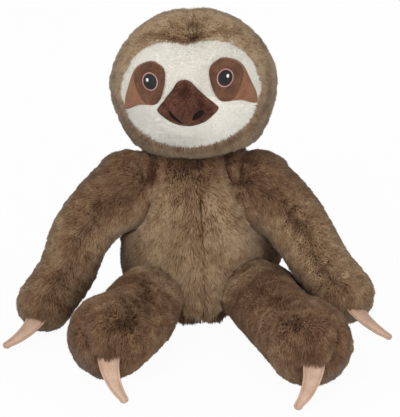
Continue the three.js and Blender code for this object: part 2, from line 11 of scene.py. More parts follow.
import bpy
import numpy as np
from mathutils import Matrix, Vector


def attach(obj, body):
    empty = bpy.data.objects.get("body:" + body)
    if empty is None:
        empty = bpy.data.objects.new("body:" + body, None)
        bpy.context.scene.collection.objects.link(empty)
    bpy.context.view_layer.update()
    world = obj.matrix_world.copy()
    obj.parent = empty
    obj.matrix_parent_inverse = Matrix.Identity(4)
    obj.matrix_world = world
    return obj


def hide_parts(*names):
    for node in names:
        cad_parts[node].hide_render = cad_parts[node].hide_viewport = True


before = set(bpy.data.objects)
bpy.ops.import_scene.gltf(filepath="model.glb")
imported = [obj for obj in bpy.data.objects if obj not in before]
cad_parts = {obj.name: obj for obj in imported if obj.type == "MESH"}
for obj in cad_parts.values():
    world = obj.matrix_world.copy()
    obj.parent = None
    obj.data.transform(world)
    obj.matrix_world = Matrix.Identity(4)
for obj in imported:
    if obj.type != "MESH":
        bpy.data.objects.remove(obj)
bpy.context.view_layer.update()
MM = 0.001
rng = np.random.default_rng(20)
scene = bpy.context.scene

# %% [markdown]
# ## Camera, floor and light
# The photograph was taken from a little above, with a long lens. A pale floor, a white world
# and large soft lamps give the plain studio look. A curved sheet of white paper would do as
# well, but the world is white to the camera only, so that no extra light falls on the toy.

# %% Camera
ELEVATION = math.radians(21.0)
CAMERA_DISTANCE = 1600
CAMERA_TARGET = (6.07, 0, 97.6)
FOCAL_PIXELS = 1712
IMAGE_WIDTH = 400
SENSOR = 36


def in_scene(name, data):
    """A new object with this data, linked to the scene."""
    made = bpy.data.objects.new(name, data)
    scene.collection.objects.link(made)
    return made


lens = bpy.data.cameras.new("camera")
lens.sensor_fit = "HORIZONTAL"
lens.sensor_width = SENSOR
lens.lens = FOCAL_PIXELS * SENSOR / IMAGE_WIDTH
lens.clip_end = 20
camera = in_scene("camera", lens)
camera.location = (
    CAMERA_TARGET[0] * MM,
    -CAMERA_DISTANCE * MM * math.cos(ELEVATION),
    (CAMERA_TARGET[2] + CAMERA_DISTANCE * math.sin(ELEVATION)) * MM,
)
camera.rotation_euler = (math.pi / 2 - ELEVATION, 0, 0)
scene.camera = camera
scene.view_settings.view_transform = "Standard"
print("lens:", round(lens.lens, 1), "mm")


# %% Lamps
def area_lamp(name, place, aim, size, power):
    """A square soft lamp of this size and power, turned so that it shines on the aim."""
    lamp = bpy.data.lights.new(name, "AREA")
    lamp.size, lamp.energy = size, power
    made = in_scene(name, lamp)
    made.location = place
    made.rotation_euler = (Vector(aim) - Vector(place)).to_track_quat("-Z", "Y").to_euler()


area_lamp("key_lamp", (-0.7, -1.5, 1.3), (0, 0, 0.12), 0.9, 12.5)
area_lamp("front_lamp", (0.4, -2.0, 0.12), (0, 0, 0.14), 1.5, 30)
area_lamp("back_lamp", (0.1, 1.1, 1.3), (0, 0, 0.15), 1.0, 6)
print("lamps:", [lamp.name for lamp in bpy.data.lights])


# %% Shader nodes
def node(tree, kind, *values, **settings):
    """A new shader node. Values fill its inputs in their order, and settings its inputs or its
    properties by name: a socket is linked, anything else is set."""
    made = tree.nodes.new("ShaderNode" + kind)
    filled = list(zip(made.inputs, values))
    for key, value in settings.items():
        if key in made.inputs:
            filled.append((made.inputs[key], value))
        else:
            setattr(made, key, value)
    for socket, value in filled:
        if isinstance(value, bpy.types.NodeSocket):
            tree.links.new(value, socket)
        else:
            socket.default_value = value
    return made


def chained(tree, operation, *values):
    """Several values added or multiplied, one after the other; plain numbers are allowed."""
    result = values[0]
    for value in values[1:]:
        result = node(tree, "Math", result, value, operation=operation).outputs[0]
    return result


def seen_rays(tree):
    """1 for rays from the camera, and for those that a gloss or a clear piece sends on."""
    path = node(tree, "LightPath").outputs
    rays = [path[f"Is {kind} Ray"] for kind in ("Camera", "Glossy", "Transmission")]
    return chained(tree, "MAXIMUM", *rays)


def new_material(name):
    """A material with nodes, its node tree and its Principled BSDF."""
    made = bpy.data.materials.new(name)
    made.use_nodes = True
    return made, made.node_tree, made.node_tree.nodes["Principled BSDF"]


# %% World and floor
WHITE = (1, 1, 1, 1)
AMBIENT = 0.5
FLOOR_GREY, FLOOR_WHITE = 0.9, 0.95
FLOOR_HALF = 3

world = bpy.data.worlds.new("studio")
scene.world = world
world.use_nodes = True
sky = world.node_tree
ambient = sky.nodes["Background"]
ambient.inputs["Color"].default_value = WHITE
ambient.inputs["Strength"].default_value = AMBIENT
backdrop = node(sky, "Background", WHITE, 1)
world_mix = node(sky, "MixShader", seen_rays(sky), ambient.outputs[0], backdrop.outputs[0])
sky.links.new(world_mix.outputs[0], sky.nodes["World Output"].inputs["Surface"])


def floor_material():
    """Pale floor: its own soft shadow mixed with plain white for what the camera sees."""
    made, tree, shader = new_material("studio_floor")
    shader.inputs["Base Color"].default_value = (FLOOR_GREY,) * 3 + (1,)
    shader.inputs["Roughness"].default_value = 1
    glow = node(tree, "Emission", Strength=1)
    seen = chained(tree, "MULTIPLY", seen_rays(tree), FLOOR_WHITE)
    mix = node(tree, "MixShader", seen, shader.outputs[0], glow.outputs[0])
    tree.links.new(mix.outputs[0], tree.nodes["Material Output"].inputs["Surface"])
    return made


def floor():
    """A flat square, 6 metres wide, just under the toy."""
    mesh = bpy.data.meshes.new("floor")
    corners = [(x * FLOOR_HALF, y * FLOOR_HALF, 0) for x, y in ((-1, -1), (1, -1), (1, 1), (-1, 1))]
    mesh.from_pydata(corners, [], [(0, 1, 2, 3)])
    mesh.materials.append(floor_material())
    in_scene("floor", mesh)


floor()

# %% [markdown]
# ## Materials
# Plush has a pile: each tuft is darker at its root, where less light comes, and paler at
# its tip. A picture of fur would lie flat and repeat, so the colour is read from two numbers
# that every tuft carries: how high a point is on its tuft, and how pale the whole tuft is.
# Suede and thread get their own small nap. What several of them use is a node group.


# %% Cloth and its colour
def linear(hex_colour):
    """An sRGB colour written as hex, as the linear numbers that a shader takes."""
    channels = [int(hex_colour[i:i + 2], 16) / 255 for i in (0, 2, 4)]
    return tuple(c / 12.92 if c <= 0.04045 else ((c + 0.055) / 1.055) ** 2.4 for c in channels) + (1,)


CLOTH_SHEEN_ROUGHNESS, CLOTH_GLOSS = 0.5, 0.2


def cloth(name, roughness, sheen):
    """A Principled material for cloth; its colour is linked by the caller."""
    made, tree, shader = new_material(name)
    finish = (("Roughness", roughness), ("Sheen Weight", sheen), ("Sheen Roughness", CLOTH_SHEEN_ROUGHNESS),
              ("Specular IOR Level", CLOTH_GLOSS))
    for label, value in finish:
        shader.inputs[label].default_value = value
    return made, tree, shader


def coloured(tree, shader, value, stops):
    """A value read as a colour on a ramp of (place, hex colour) stops: the cloth's colour."""
    ramp = node(tree, "ValToRGB", value)
    bands = ramp.color_ramp.elements
    while len(bands) < len(stops):
        bands.new(0.5)
    for band, (place, colour) in zip(bands, stops):
        band.position = place
        band.color = linear(colour)
    tree.links.new(ramp.outputs[0], shader.inputs["Base Color"])


def napped(tree, shader, value, strength, distance):
    """A value used as the height of a bump."""
    bump = node(tree, "Bump", Strength=strength, Distance=distance, Height=value)
    tree.links.new(bump.outputs[0], shader.inputs["Normal"])


# %% Node groups
def new_group(name, **inputs):
    """An empty node group with these inputs and one output, Value: the group, the sockets that
    give its inputs inside, and the socket that takes its value."""
    group = bpy.data.node_groups.new(name, "ShaderNodeTree")
    for label, default in inputs.items():
        socket = group.interface.new_socket(label, in_out="INPUT", socket_type="NodeSocketFloat")
        socket.default_value = default
    group.interface.new_socket("Value", in_out="OUTPUT", socket_type="NodeSocketFloat")
    given = group.nodes.new("NodeGroupInput").outputs
    return group, given, group.nodes.new("NodeGroupOutput").inputs["Value"]


def placed(tree, group, **values):
    """A group placed in a material or in another group, with its own values. Gives its Value."""
    return node(tree, "Group", node_tree=group, **values).outputs["Value"]


def noise_at(group, scale, detail):
    """A noise on Object coordinates whose scale is one of the group's inputs."""
    place = node(group, "TexCoord").outputs["Object"]
    return node(group, "TexNoise", Vector=place, Scale=scale, Detail=detail).outputs["Fac"]


def mottle_group():
    """A value that drifts over the surface: a base, plus two noises, one coarse and one fine,
    less their mean and times an amount."""
    group, given, value = new_group("mottle", Base=0.5, Coarse=40.0, Fine=160.0, Amount=1.0)
    coarse, fine = noise_at(group, given["Coarse"], 2.0), noise_at(group, given["Fine"], 3.0)
    drift = chained(group, "MULTIPLY", chained(group, "ADD", coarse, fine, -1.0), given["Amount"])
    group.links.new(chained(group, "ADD", given["Base"], drift), value)
    return group


def grain_group():
    """The height of a fine nap: one noise."""
    group, given, value = new_group("grain", Scale=1400.0)
    group.links.new(noise_at(group, given["Scale"], 3.0), value)
    return group


def stitch_group():
    """Parallel threads: a wave across X whose lines wander a little."""
    group, given, value = new_group("satin_stitch", Scale=330.0)
    place = node(group, "TexCoord").outputs["Object"]
    wave = node(group, "TexWave", Vector=place, Scale=given["Scale"], Distortion=1.2, Detail=1.0,
                bands_direction="X")
    group.links.new(wave.outputs["Fac"], value)
    return group


MOTTLE, GRAIN, STITCH = mottle_group(), grain_group(), stitch_group()


def tuft_group():
    """The place on the colour ramp of a point of a tuft: how high it is on its tuft, plus the
    tone of the whole tuft, plus a drift over the toy."""
    group, given, value = new_group("tuft_shade", Lift=0.0)
    height, tone = (node(group, "Attribute", attribute_name=key).outputs["Fac"] for key in ("height", "tone"))
    drift = placed(group, MOTTLE, Base=0.0, Coarse=28.0, Fine=110.0, Amount=0.5)
    group.links.new(chained(group, "ADD", height, tone, drift, given["Lift"]), value)
    return group


TUFT = tuft_group()
print("node groups:", [group.name for group in bpy.data.node_groups])


# %% Pile materials
def pile_material(name, stops, sheen):
    """Colour along a tuft, from dark at its foot to pale at its tip."""
    made, tree, shader = cloth(name, 0.85, sheen)
    coloured(tree, shader, placed(tree, TUFT), stops)
    return made


def backing_material(name, dark, pale):
    """The dense foot of the pile: a mottled colour with a fine rough bump."""
    made, tree, shader = cloth(name, 1.0, 0.0)
    mottle = placed(tree, MOTTLE, Coarse=60.0, Fine=600.0, Amount=0.8)
    coloured(tree, shader, mottle, [(0.2, dark), (0.8, pale)])
    napped(tree, shader, placed(tree, GRAIN, Scale=1400.0), 0.6, 0.0006)
    return made


BROWN_STOPS = [(0, "4b3020"), (0.4, "795840"), (0.8, "a38666"), (1, "c3a988")]
WHITE_STOPS = [(0, "d9d4c9"), (0.5, "ebe8de"), (0.86, "f3f0e7"), (1, "fffdf4")]
BROWN_PILE = pile_material("brown_pile", BROWN_STOPS, 0.12)
WHITE_PILE = pile_material("white_pile", WHITE_STOPS, 0.05)
BROWN_BACKING = backing_material("brown_backing", "4f3929", "664e3a")
WHITE_BACKING = backing_material("white_backing", "dfdacf", "ebe7de")


# %% Suede, velour and thread
def suede_material(name, dark, pale, nap=0.5, grain=900.0, sheen=0.25):
    """Brushed cloth: a mottled colour, a fine grain in it, and a low bump from a finer grain."""
    made, tree, shader = cloth(name, 0.85, sheen)
    mottle = placed(tree, MOTTLE, Coarse=90.0, Fine=grain, Amount=1.1)
    coloured(tree, shader, mottle, [(0.1, dark), (0.9, pale)])
    napped(tree, shader, placed(tree, GRAIN, Scale=grain * 1.6), nap, 0.0003)
    return made


def thread_material(name, dark, pale, gloss=0.5):
    """Satin stitch: fine parallel threads, dark between them, with a slight gloss."""
    made, tree, shader = cloth(name, 0.45, 0.1)
    shader.inputs["Specular IOR Level"].default_value = gloss
    threads = placed(tree, STITCH)
    coloured(tree, shader, threads, [(0.1, dark), (0.9, pale)])
    napped(tree, shader, threads, 0.5, 0.0002)
    return made


BROWN_SUEDE = suede_material("brown_suede", "6a4633", "986b50", sheen=0.15)
# The lobe is the wing's suede made darker: painted shade round the eye.
LOBE_PAINTED_SHADE_SUEDE = suede_material("lobe_painted_shade_suede", "43281b", "75503a", sheen=0.15)
NOSE_VELOUR = suede_material("nose_velour", "2b150d", "4a2a1d", sheen=0.05)
NOSE_PILE = pile_material("nose_pile", [(0, "2b150d"), (0.5, "583628"), (1, "8f6250")], 0.05)
# Near-black velour for the nostrils: partly their own dark colour, partly painted shade inside the dents.
NOSTRIL_VELOUR_AND_SHADE = suede_material("nostril_velour", "0c0604", "1c0f0a", sheen=0.0)
CLAW_SUEDE = suede_material("claw_suede", "b18f78", "cfb19c", nap=0.3, sheen=0.1)
CLAW_THREAD = thread_material("claw_thread", "8a644e", "a8846c")
PUPIL_THREAD = thread_material("pupil_thread", "080606", "151213", gloss=0.25)
RING_THREAD = thread_material("ring_thread", "93645c", "b88a80")
# Dark thread for the eye's rim and its iris; on the rim it also stands in for the shadow round the raised
# ring: partly painted shadow.
RIM_THREAD_AND_SHADOW = thread_material("rim_thread_and_shadow", "22120e", "43261d")
SHINE_THREAD = thread_material("shine_thread", "dcdcdc", "f6f6f6")
FIBRE = suede_material("fibre_fill", "dedbd2", "f6f4ee", nap=1.0, grain=300.0, sheen=0.0)
PELLET_CLOTH = suede_material("pellet_cloth", "c6c1b3", "e0dccf", nap=0.4, grain=700.0, sheen=0.0)
print("materials:", len(bpy.data.materials))

# %% [markdown]
# ## Smooth forms on grids
# Each stuffed form is a closed surface: rings of points from one pole to the other. A path
# that passes smoothly through a few points gives the centres and radii of the rings. The
# forms could be sculpted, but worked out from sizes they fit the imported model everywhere.


# %% Paths and vectors
def path_through(points, t):
    """Catmull-Rom curve: a cubic between each two points whose slope at a point is half the
    step from the point before it to the point after it. t runs from 0 to 1 over the points."""
    points = np.asarray(points, float)
    ends = np.vstack([2 * points[0] - points[1], points, 2 * points[-1] - points[-2]])
    spans = len(points) - 1
    place = np.clip(np.asarray(t, float), 0, 1) * spans
    span = np.minimum(place.astype(int), spans - 1)
    f = (place - span)[:, None]
    a, b, c, d = (ends[span + k] for k in range(4))
    return 0.5 * (2 * b + (c - a) * f + (2 * a - 5 * b + 4 * c - d) * f ** 2
                  + (3 * b - a - 3 * c + d) * f ** 3)


def unit(vectors):
    """Vectors divided by their lengths."""
    vectors = np.asarray(vectors, float)
    return vectors / np.maximum(np.linalg.norm(vectors, axis=-1, keepdims=True), 1e-12)


def dot(a, b):
    """Row by row product of vectors, kept as a column."""
    return (a * b).sum(-1, keepdims=True)


def ring_angles(count):
    """Even angles once round a ring."""
    return np.linspace(0, 2 * math.pi, count, endpoint=False)


def bell(*parts):
    """A hill that is 1 in the middle: e to the power of less the sum of the squares of the
    distances, each over its own width. The parts are a distance, its width and so on."""
    return np.exp(-sum((distance / width) ** 2 for distance, width in zip(parts[::2], parts[1::2])))


def fade(value, start, stop):
    """A straight rise from 0 where the value is the start to 1 where it is the stop."""
    return np.clip((value - start) / (stop - start), 0, 1)


def noise(points, size, seed):
    """Smooth random numbers from -1 to 1: random values at the corners of cubes of this size,
    blended by how near each point is to each corner."""
    scaled = np.asarray(points) / size
    low = np.floor(scaled).astype(np.int64)
    f = scaled - low
    f = f * f * (3 - 2 * f)
    result = np.zeros(len(scaled))
    for corner in np.ndindex(2, 2, 2):
        c = low + corner
        h = (c[:, 0] * 73856093) ^ (c[:, 1] * 19349663) ^ (c[:, 2] * 83492791) ^ (seed * 26544357)
        h = (h ^ (h >> 13)) * 1274126177 & 0x7FFFFFFF
        h = ((h ^ (h >> 11)) * 668265263) & 0x7FFFFFFF
        value = (h >> 8 & 0xFFFF) / 32767.5 - 1
        result += np.where(np.array(corner) == 1, f, 1 - f).prod(axis=1) * value
    return result


# %% Grids
def grid_normals(grid):
    """Outward directions of a grid of rings: the cross product of the step to the next point
    round the ring and the step to the next ring, turned away from the grid's middle."""
    round_step = np.roll(grid, -1, axis=1) - np.roll(grid, 1, axis=1)
    normals = unit(np.cross(round_step, np.gradient(grid, axis=0)))
    outwards = dot(normals, grid - grid.mean(axis=(0, 1))).mean() >= 0
    return normals if outwards else -normals


def along_limb(centres, radii, count=22):
    """Balls that fill a limb: middles at even steps of its path, and its radius at each."""
    t = np.linspace(0, 1, count)
    return path_through(centres, t), path_through(np.asarray(radii, float)[:, None], t)[:, 0]


SWELL_REACH = 0.24


def limb_grid(centres, radii, fuller=(0, 0, 0), around=64, along=52, cap=12):
    """A sausage: rings of the path's radius at right angles to it, closed by two half balls
    whose rings shrink with the cosine of the angle towards the pole. fuller is a side, a
    width and a place: the outer half of the rings about that place is that much wider."""
    middle, radius = along_limb(centres, radii, along)
    direction = unit(np.gradient(middle, axis=0))
    turn = np.linspace(math.pi / 2, 0, cap, endpoint=False)[1:]
    first = middle[0] - direction[0] * radius[0] * np.sin(turn)[:, None]
    last = middle[-1] + direction[-1] * radius[-1] * np.sin(turn[::-1])[:, None]
    middle = np.vstack([first, middle, last])
    ends = (len(turn), len(turn))
    direction = np.pad(direction, (ends, (0, 0)), "edge")
    share = np.pad(np.linspace(0, 1, along), ends, "edge")
    radius = np.concatenate([radius[0] * np.cos(turn), radius, radius[-1] * np.cos(turn[::-1])])
    across = unit(np.array([1.0, 0, 0]) - dot(np.array([1.0, 0, 0]), direction) * direction)
    third = np.cross(direction, across)
    angle = ring_angles(around)
    side, extra, place = fuller
    swell = extra * bell(share - place, SWELL_REACH)[:, None] * np.maximum(side * np.cos(angle), 0) ** 1.5
    wide = radius[:, None] * np.cos(angle) + side * swell
    deep = radius[:, None] * np.sin(angle)
    return middle[:, None] + across[:, None] * wide[..., None] + third[:, None] * deep[..., None]


def closed_faces(rows, around):
    """Triangles over a grid of rings with one pole point before it and one after it."""
    j = np.arange(around)
    k = (j + 1) % around
    last = rows * around + 1
    start = np.stack([np.zeros(around, int), 1 + k, 1 + j], 1)
    end = np.stack([np.full(around, last), last - around + j, last - around + k], 1)
    base = 1 + np.arange(rows - 1)[:, None] * around
    a, b = base + j, base + k
    c, d = a + around, b + around
    quads = [np.stack(corners, -1).reshape(-1, 3) for corners in ((a, b, d), (a, d, c))]
    return np.concatenate([start, *quads, end])


def closed_points(grid):
    """The grid's points as one list, with a pole at the mean of the first and the last ring."""
    return np.vstack([grid[0].mean(0), grid.reshape(-1, 3), grid[-1].mean(0)])


def outwards(points, faces):
    """Triangles turned so that they face outwards: the sum of their corners' triple products,
    six times the volume that they close in, is then positive."""
    a, b, c = (points[faces[:, k]] for k in range(3))
    return faces if (a * np.cross(b, c)).sum() >= 0 else faces[:, ::-1]


# %% Pieces
PIECES = []


def piece(name, points, faces, material, body, uv, attributes=None):
    """Puts points in millimetres and triangles into a new mesh object that rides on a body."""
    mesh = bpy.data.meshes.new(name)
    mesh.vertices.add(len(points))
    mesh.vertices.foreach_set("co", (np.asarray(points) * MM).astype(np.float32).ravel())
    mesh.loops.add(faces.size)
    mesh.loops.foreach_set("vertex_index", faces.astype(np.int32).ravel())
    mesh.polygons.add(len(faces))
    mesh.polygons.foreach_set("loop_start", np.arange(0, faces.size, 3, dtype=np.int32))
    mesh.update(calc_edges=True)
    mesh.polygons.foreach_set("use_smooth", np.ones(len(faces), bool))
    for key, values in (attributes or {}).items():
        mesh.attributes.new(key, "FLOAT", "POINT").data.foreach_set("value", values.astype(np.float32))
    if uv is not None:
        layer = mesh.uv_layers.new(name="pattern")
        layer.data.foreach_set("uv", uv[faces.ravel()].astype(np.float32).ravel())
    mesh.materials.append(material)
    mesh.validate()
    made = in_scene(name, mesh)
    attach(made, body)
    PIECES.append(made)
    return made


def solid(name, grid, material, body):
    """A closed piece from a grid of rings, its faces outwards, with its rings as UV map."""
    rows, around = grid.shape[:2]
    points = closed_points(grid)
    u, v = np.meshgrid(np.arange(around) / around, (np.arange(rows) + 1) / (rows + 1))
    uv = np.vstack([[0.5, 0], np.stack([u, v], -1).reshape(-1, 2), [0.5, 1]])
    return piece(name, points, outwards(points, closed_faces(rows, around)), material, body, uv)


# %% [markdown]
# ## The toy's main sizes
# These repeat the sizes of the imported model: where the joints are, how each limb runs and
# how thick it is. The outer forms end where the tips of the pile end. They could be read from
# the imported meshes, but a limb's bends and swells can only be drawn again from its own sizes.

# %% Sizes
TORSO_HEIGHT, TORSO_WIDTH, TORSO_DEPTH = 168, 139, 128
HEAD_WIDTH, HEAD_DEPTH, HEAD_HEIGHT, HEAD_CENTRE = 152, 132, 134, 222
NECK = np.array([0, 0, 132.0])
NECK_RADIUS = 36
TORSO_TURN = math.radians(9)
HEAD_YAW, HEAD_ROLL = math.radians(-3.5), math.radians(-4)
PILE = 8.0
BODY_FLOOR, LEG_FLOOR, TIP_FLOOR = 4.0, 0.2, 0.1

SHOULDER_SPREAD, SHOULDER_HEIGHT, SHOULDER_RADIUS = 60, 116.0, 38
ARMHOLE_SLOPE = math.radians(28)
ARM_LENGTH, HAND_RADIUS = 132, 26.5
ARM_ROUTE = {
    -1: [(-0.18, -0.1, -0.1), (-0.33, -0.2, -0.26), (-0.43, -0.33, -0.48), (-0.57, -0.47, -0.66)],
    1: [(0.18, -0.12, -0.1), (0.315, -0.29, -0.23), (0.43, -0.495, -0.37), (0.568, -0.732, -0.475)],
}
ARM_RADII = [SHOULDER_RADIUS] + [share * HAND_RADIUS for share in (1.18, 1.08, 1.02, 1)]
HIP_SPREAD, HIP_FORWARD, HIP_HEIGHT, HIP_RADIUS = 44, 34, 29.5, 30
LEG_LENGTH, FOOT_RADIUS = 128, 38
LEG_ROUTE = {
    -1: [(-0.02, -0.16, 0.012), (-0.07, -0.43, 0.027), (-0.15, -0.64, 0.039), (-0.258, -0.86, 0.062)],
    1: [(0.055, -0.15, 0.012), (0.155, -0.42, 0.027), (0.27, -0.73, 0.039), (0.397, -1.073, 0.062)],
}
LEG_RADII = [HIP_RADIUS] + [share * FOOT_RADIUS for share in (0.83, 0.88, 0.92, 1)]
SIDES = {-1: "left", 1: "right"}


def both(make):
    """The same thing made for the left side, -1, and for the right side, 1."""
    return {side: make(side) for side in SIDES}


def turned(points, angle, first=0, second=1):
    """Points turned by this angle from one axis towards another: from X to Y, about the
    vertical, if nothing else is said."""
    points = np.array(points, float, order="C")
    a, b = points[..., first].copy(), points[..., second].copy()
    points[..., first] = math.cos(angle) * a - math.sin(angle) * b
    points[..., second] = math.sin(angle) * a + math.cos(angle) * b
    return points


def route(start, length, shares):
    """The places that a limb's path goes through: its start, and steps from it that are shares
    of the limb's length."""
    return start + length * np.array([(0, 0, 0), *shares])


SHOULDER = both(lambda side: np.array([side * SHOULDER_SPREAD, 0, SHOULDER_HEIGHT]))
HIP = both(lambda side: turned([side * HIP_SPREAD, -HIP_FORWARD, HIP_HEIGHT], TORSO_TURN))
ARM_CENTRES = both(lambda side: route(SHOULDER[side], ARM_LENGTH, ARM_ROUTE[side]))
LEG_CENTRES = both(lambda side: route(HIP[side], LEG_LENGTH, LEG_ROUTE[side]))
print("paws:", *(centres[side][-1].round() for centres in (ARM_CENTRES, LEG_CENTRES) for side in SIDES))

# %% Torso form
TORSO_LEVELS = [(0, 0.74, 0.8), (0.06, 0.85, 0.92), (0.15, 0.955, 0.99), (0.327, 1, 1), (0.548, 0.93, 0.925),
                (0.65, 0.86, 0.845), (0.774, 0.8, 0.72), (0.855, 0.76, 0.6), (0.905, 0.71, 0.47),
                (0.932, 0.65, 0.41), (0.952, 0.46, 0.31)]
NECK_RINGS = (64, 84)
BOTTOM_RINGS = (0.1, 0.35, 0.6, 0.85)
SLUMP, SLUMP_SIDE, SLUMP_LEVEL, SLUMP_REACH = 25, math.radians(20), 48, 34


def torso_profile(t):
    """Heights, half widths and half depths up the torso, its top a ball about the neck."""
    levels = [(z * TORSO_HEIGHT, w * TORSO_WIDTH / 2, d * TORSO_DEPTH / 2) for z, w, d in TORSO_LEVELS]
    for turn in np.radians(NECK_RINGS):
        reach = NECK_RADIUS * math.cos(turn)
        levels.append((NECK[2] + NECK_RADIUS * math.sin(turn), reach, reach))
    return path_through(levels, t)


def torso_grid(around=112, along=96):
    """Rings up the torso: ellipses of the profile's half sizes, with a flat bottom. The flank
    sags on one side: by a bell of the height times the cube of the cosine round the ring."""
    profile = torso_profile(np.linspace(0, 1, along))
    profile = np.vstack([[(0, *(share * profile[0, 1:])) for share in BOTTOM_RINGS], profile])
    height, wide, deep = (profile[:, k:k + 1] for k in range(3))
    angle = ring_angles(around)
    slump = SLUMP * (bell(height - SLUMP_LEVEL, SLUMP_REACH) * np.maximum(np.cos(angle - SLUMP_SIDE), 0) ** 3)
    x = wide * np.cos(angle) + slump * math.cos(SLUMP_SIDE)
    y = deep * np.sin(angle) + slump * math.sin(SLUMP_SIDE)
    return turned(np.stack([x, y, height + 0 * angle], -1), TORSO_TURN)


def own_x(points):
    """Places across the torso, from its own middle."""
    return turned(points, -TORSO_TURN)[..., 0]


def in_torso(points, grown):
    """Which points lie inside the torso's outer form, grown by this much."""
    own = turned(points, -TORSO_TURN)
    height, wide, deep = torso_profile(np.linspace(0, 1, 300)).T
    across = own[:, 0] / (np.interp(own[:, 2], height, wide) + grown)
    ahead = own[:, 1] / (np.interp(own[:, 2], height, deep) + grown)
    return (across ** 2 + ahead ** 2 < 1) & (own[:, 2] < height[-1])


# %% Head form
HEAD_LEVELS = [(-1, 0.25), (-0.95, 0.5), (-0.83, 0.75), (-0.65, 0.855), (-0.4, 0.95), (-0.12, 1),
               (0.15, 0.99), (0.4, 0.9), (0.62, 0.765), (0.8, 0.585), (0.93, 0.36), (1, 0.12)]
HEAD_ENDS = 0.49 * math.pi
MUZZLE_BULGE, MUZZLE_WIDTH, MUZZLE_HEIGHT, MUZZLE_DROP = 8, 34, 27, 14


def head_girth(height):
    """The head's girth, as a share of its half width, at a share of its half height."""
    heights, girths = path_through(HEAD_LEVELS, np.linspace(0, 1, 400)).T
    return np.interp(height, heights, girths)


def muzzle(x, z):
    """How far the muzzle stands forward: a round hill, highest a little below the middle."""
    return MUZZLE_BULGE * bell(x, MUZZLE_WIDTH, z + MUZZLE_DROP, MUZZLE_HEIGHT)


def head_grid(around=112, along=96):
    """Rings up the head in its own frame: ellipses of the girth, the muzzle pushed forward."""
    height = np.sin(np.linspace(-HEAD_ENDS, HEAD_ENDS, along))[:, None]
    angle = ring_angles(around)
    x = HEAD_WIDTH / 2 * head_girth(height) * np.cos(angle)
    y = HEAD_DEPTH / 2 * head_girth(height) * np.sin(angle)
    z = height * HEAD_HEIGHT / 2 + 0 * angle
    return np.stack([x, y - np.where(y < 0, muzzle(x, z), 0), z], -1)


def to_head(points):
    """Points of the toy's frame in the head's own frame."""
    return turned(turned(np.asarray(points, float) - [0, 0, HEAD_CENTRE], -HEAD_ROLL, 2, 0), -HEAD_YAW)


def from_head(points):
    """Points of the head's own frame in the toy's frame."""
    return turned(turned(points, HEAD_YAW), HEAD_ROLL, 2, 0) + [0, 0, HEAD_CENTRE]


def face_front(x, z, inset=0.0):
    """Y of the front of the head, this much below its outer surface: the ellipse of the girth
    at that height, solved for Y, less the muzzle."""
    half_width, half_depth, half_height = (size / 2 - inset for size in (HEAD_WIDTH, HEAD_DEPTH, HEAD_HEIGHT))
    girth = head_girth(z / half_height)
    rest = np.clip(1 - (x / (half_width * girth)) ** 2, 0.02, 1)
    return -half_depth * girth * np.sqrt(rest) - muzzle(x, z)


# %% [markdown]
# ## Keeping clear of the neighbours
# On the real toy the pieces press on each other. Here each form is hollowed where a limb
# turns in it, so that nothing cuts into anything else when the limbs move. A Boolean modifier
# would leave sharp rims; here each point is moved, so that the hollows stay soft. A limb
# is taken as a row of balls, because a point's depth in a ball is easy to work out.


# %% Clearances
def turn_about(points, centre, axis, degrees):
    """Points turned about an axis through a centre, by Rodrigues' formula."""
    axis, angle, v = unit(axis), math.radians(degrees), points - centre
    return (v * math.cos(angle) + np.cross(axis, v) * math.sin(angle)
            + dot(v, axis) * axis * (1 - math.cos(angle))) + centre


def swept_balls(centres, radii, turns, ease=0.0):
    """The balls of a limb, smaller by the ease, at each of several turns, which are lists of
    (centre, axis, degrees) applied in order."""
    middle, radius = along_limb(centres, radii)
    places = []
    for steps in turns:
        moved = middle
        for step in steps:
            moved = turn_about(moved, *step)
        places.append(moved)
    return np.vstack(places), np.tile(radius, len(turns)) - ease


def arm_swings(side, swings):
    """Turns of an arm about the line that its armhole faces."""
    axis = np.array([-math.cos(ARMHOLE_SLOPE), 0, -side * math.sin(ARMHOLE_SLOPE)])
    return [[(SHOULDER[side], axis, swing)] for swing in swings]


def arm_room(side):
    """The balls of the upper arm at every swing."""
    return swept_balls(ARM_CENTRES[side][:3], ARM_RADII[:3], arm_swings(side, range(-20, 75, 9)), ease=2.0)


def leg_room(side):
    """The balls of a thigh at every mix of spread and raise that its joints allow."""
    hip = HIP[side]
    forward = unit((LEG_CENTRES[side][-1] - hip) * [1, 1, 0])
    turns = [[(hip, np.cross(forward, [0, 0, 1]), raised), (hip, [0, 0, 1], spread)]
             for raised in (-30, -20, -10, 0, 5) for spread in (-10, -5, 0, 5, 9)]
    return swept_balls(LEG_CENTRES[side][:4], LEG_RADII[:4], turns)


ARM_BALLS = both(lambda side: along_limb(ARM_CENTRES[side], ARM_RADII))
LEG_BALLS = both(lambda side: along_limb(LEG_CENTRES[side], LEG_RADII))
ARM_ROOM, LEG_ROOM = both(arm_room), both(leg_room)
HAND_ROOM = swept_balls(ARM_CENTRES[1][1:], ARM_RADII[1:], arm_swings(1, range(0, 26, 5)))
NECK_BALL = (NECK[None], np.array([NECK_RADIUS]))
print("balls swept by an arm and a leg:", len(ARM_ROOM[1][1]), len(LEG_ROOM[1][1]))


def depth_in(points, balls, grown=0.0):
    """How deep each point lies in the nearest of the balls, in millimetres; negative outside."""
    deepest = np.full(len(points), -1e9)
    for centre, size in zip(*balls):
        deepest = np.maximum(deepest, size + grown - np.linalg.norm(points - centre, axis=1))
    return deepest


def pushed_out(points, balls, grown):
    """Points moved straight away from the middle of each ball that they lie in, to its surface."""
    for centre, size in zip(*balls):
        step = points - centre
        distance = np.linalg.norm(step, axis=1, keepdims=True)
        points = centre + step * np.maximum(1, (size + grown) / np.maximum(distance, 1e-6))
    return points


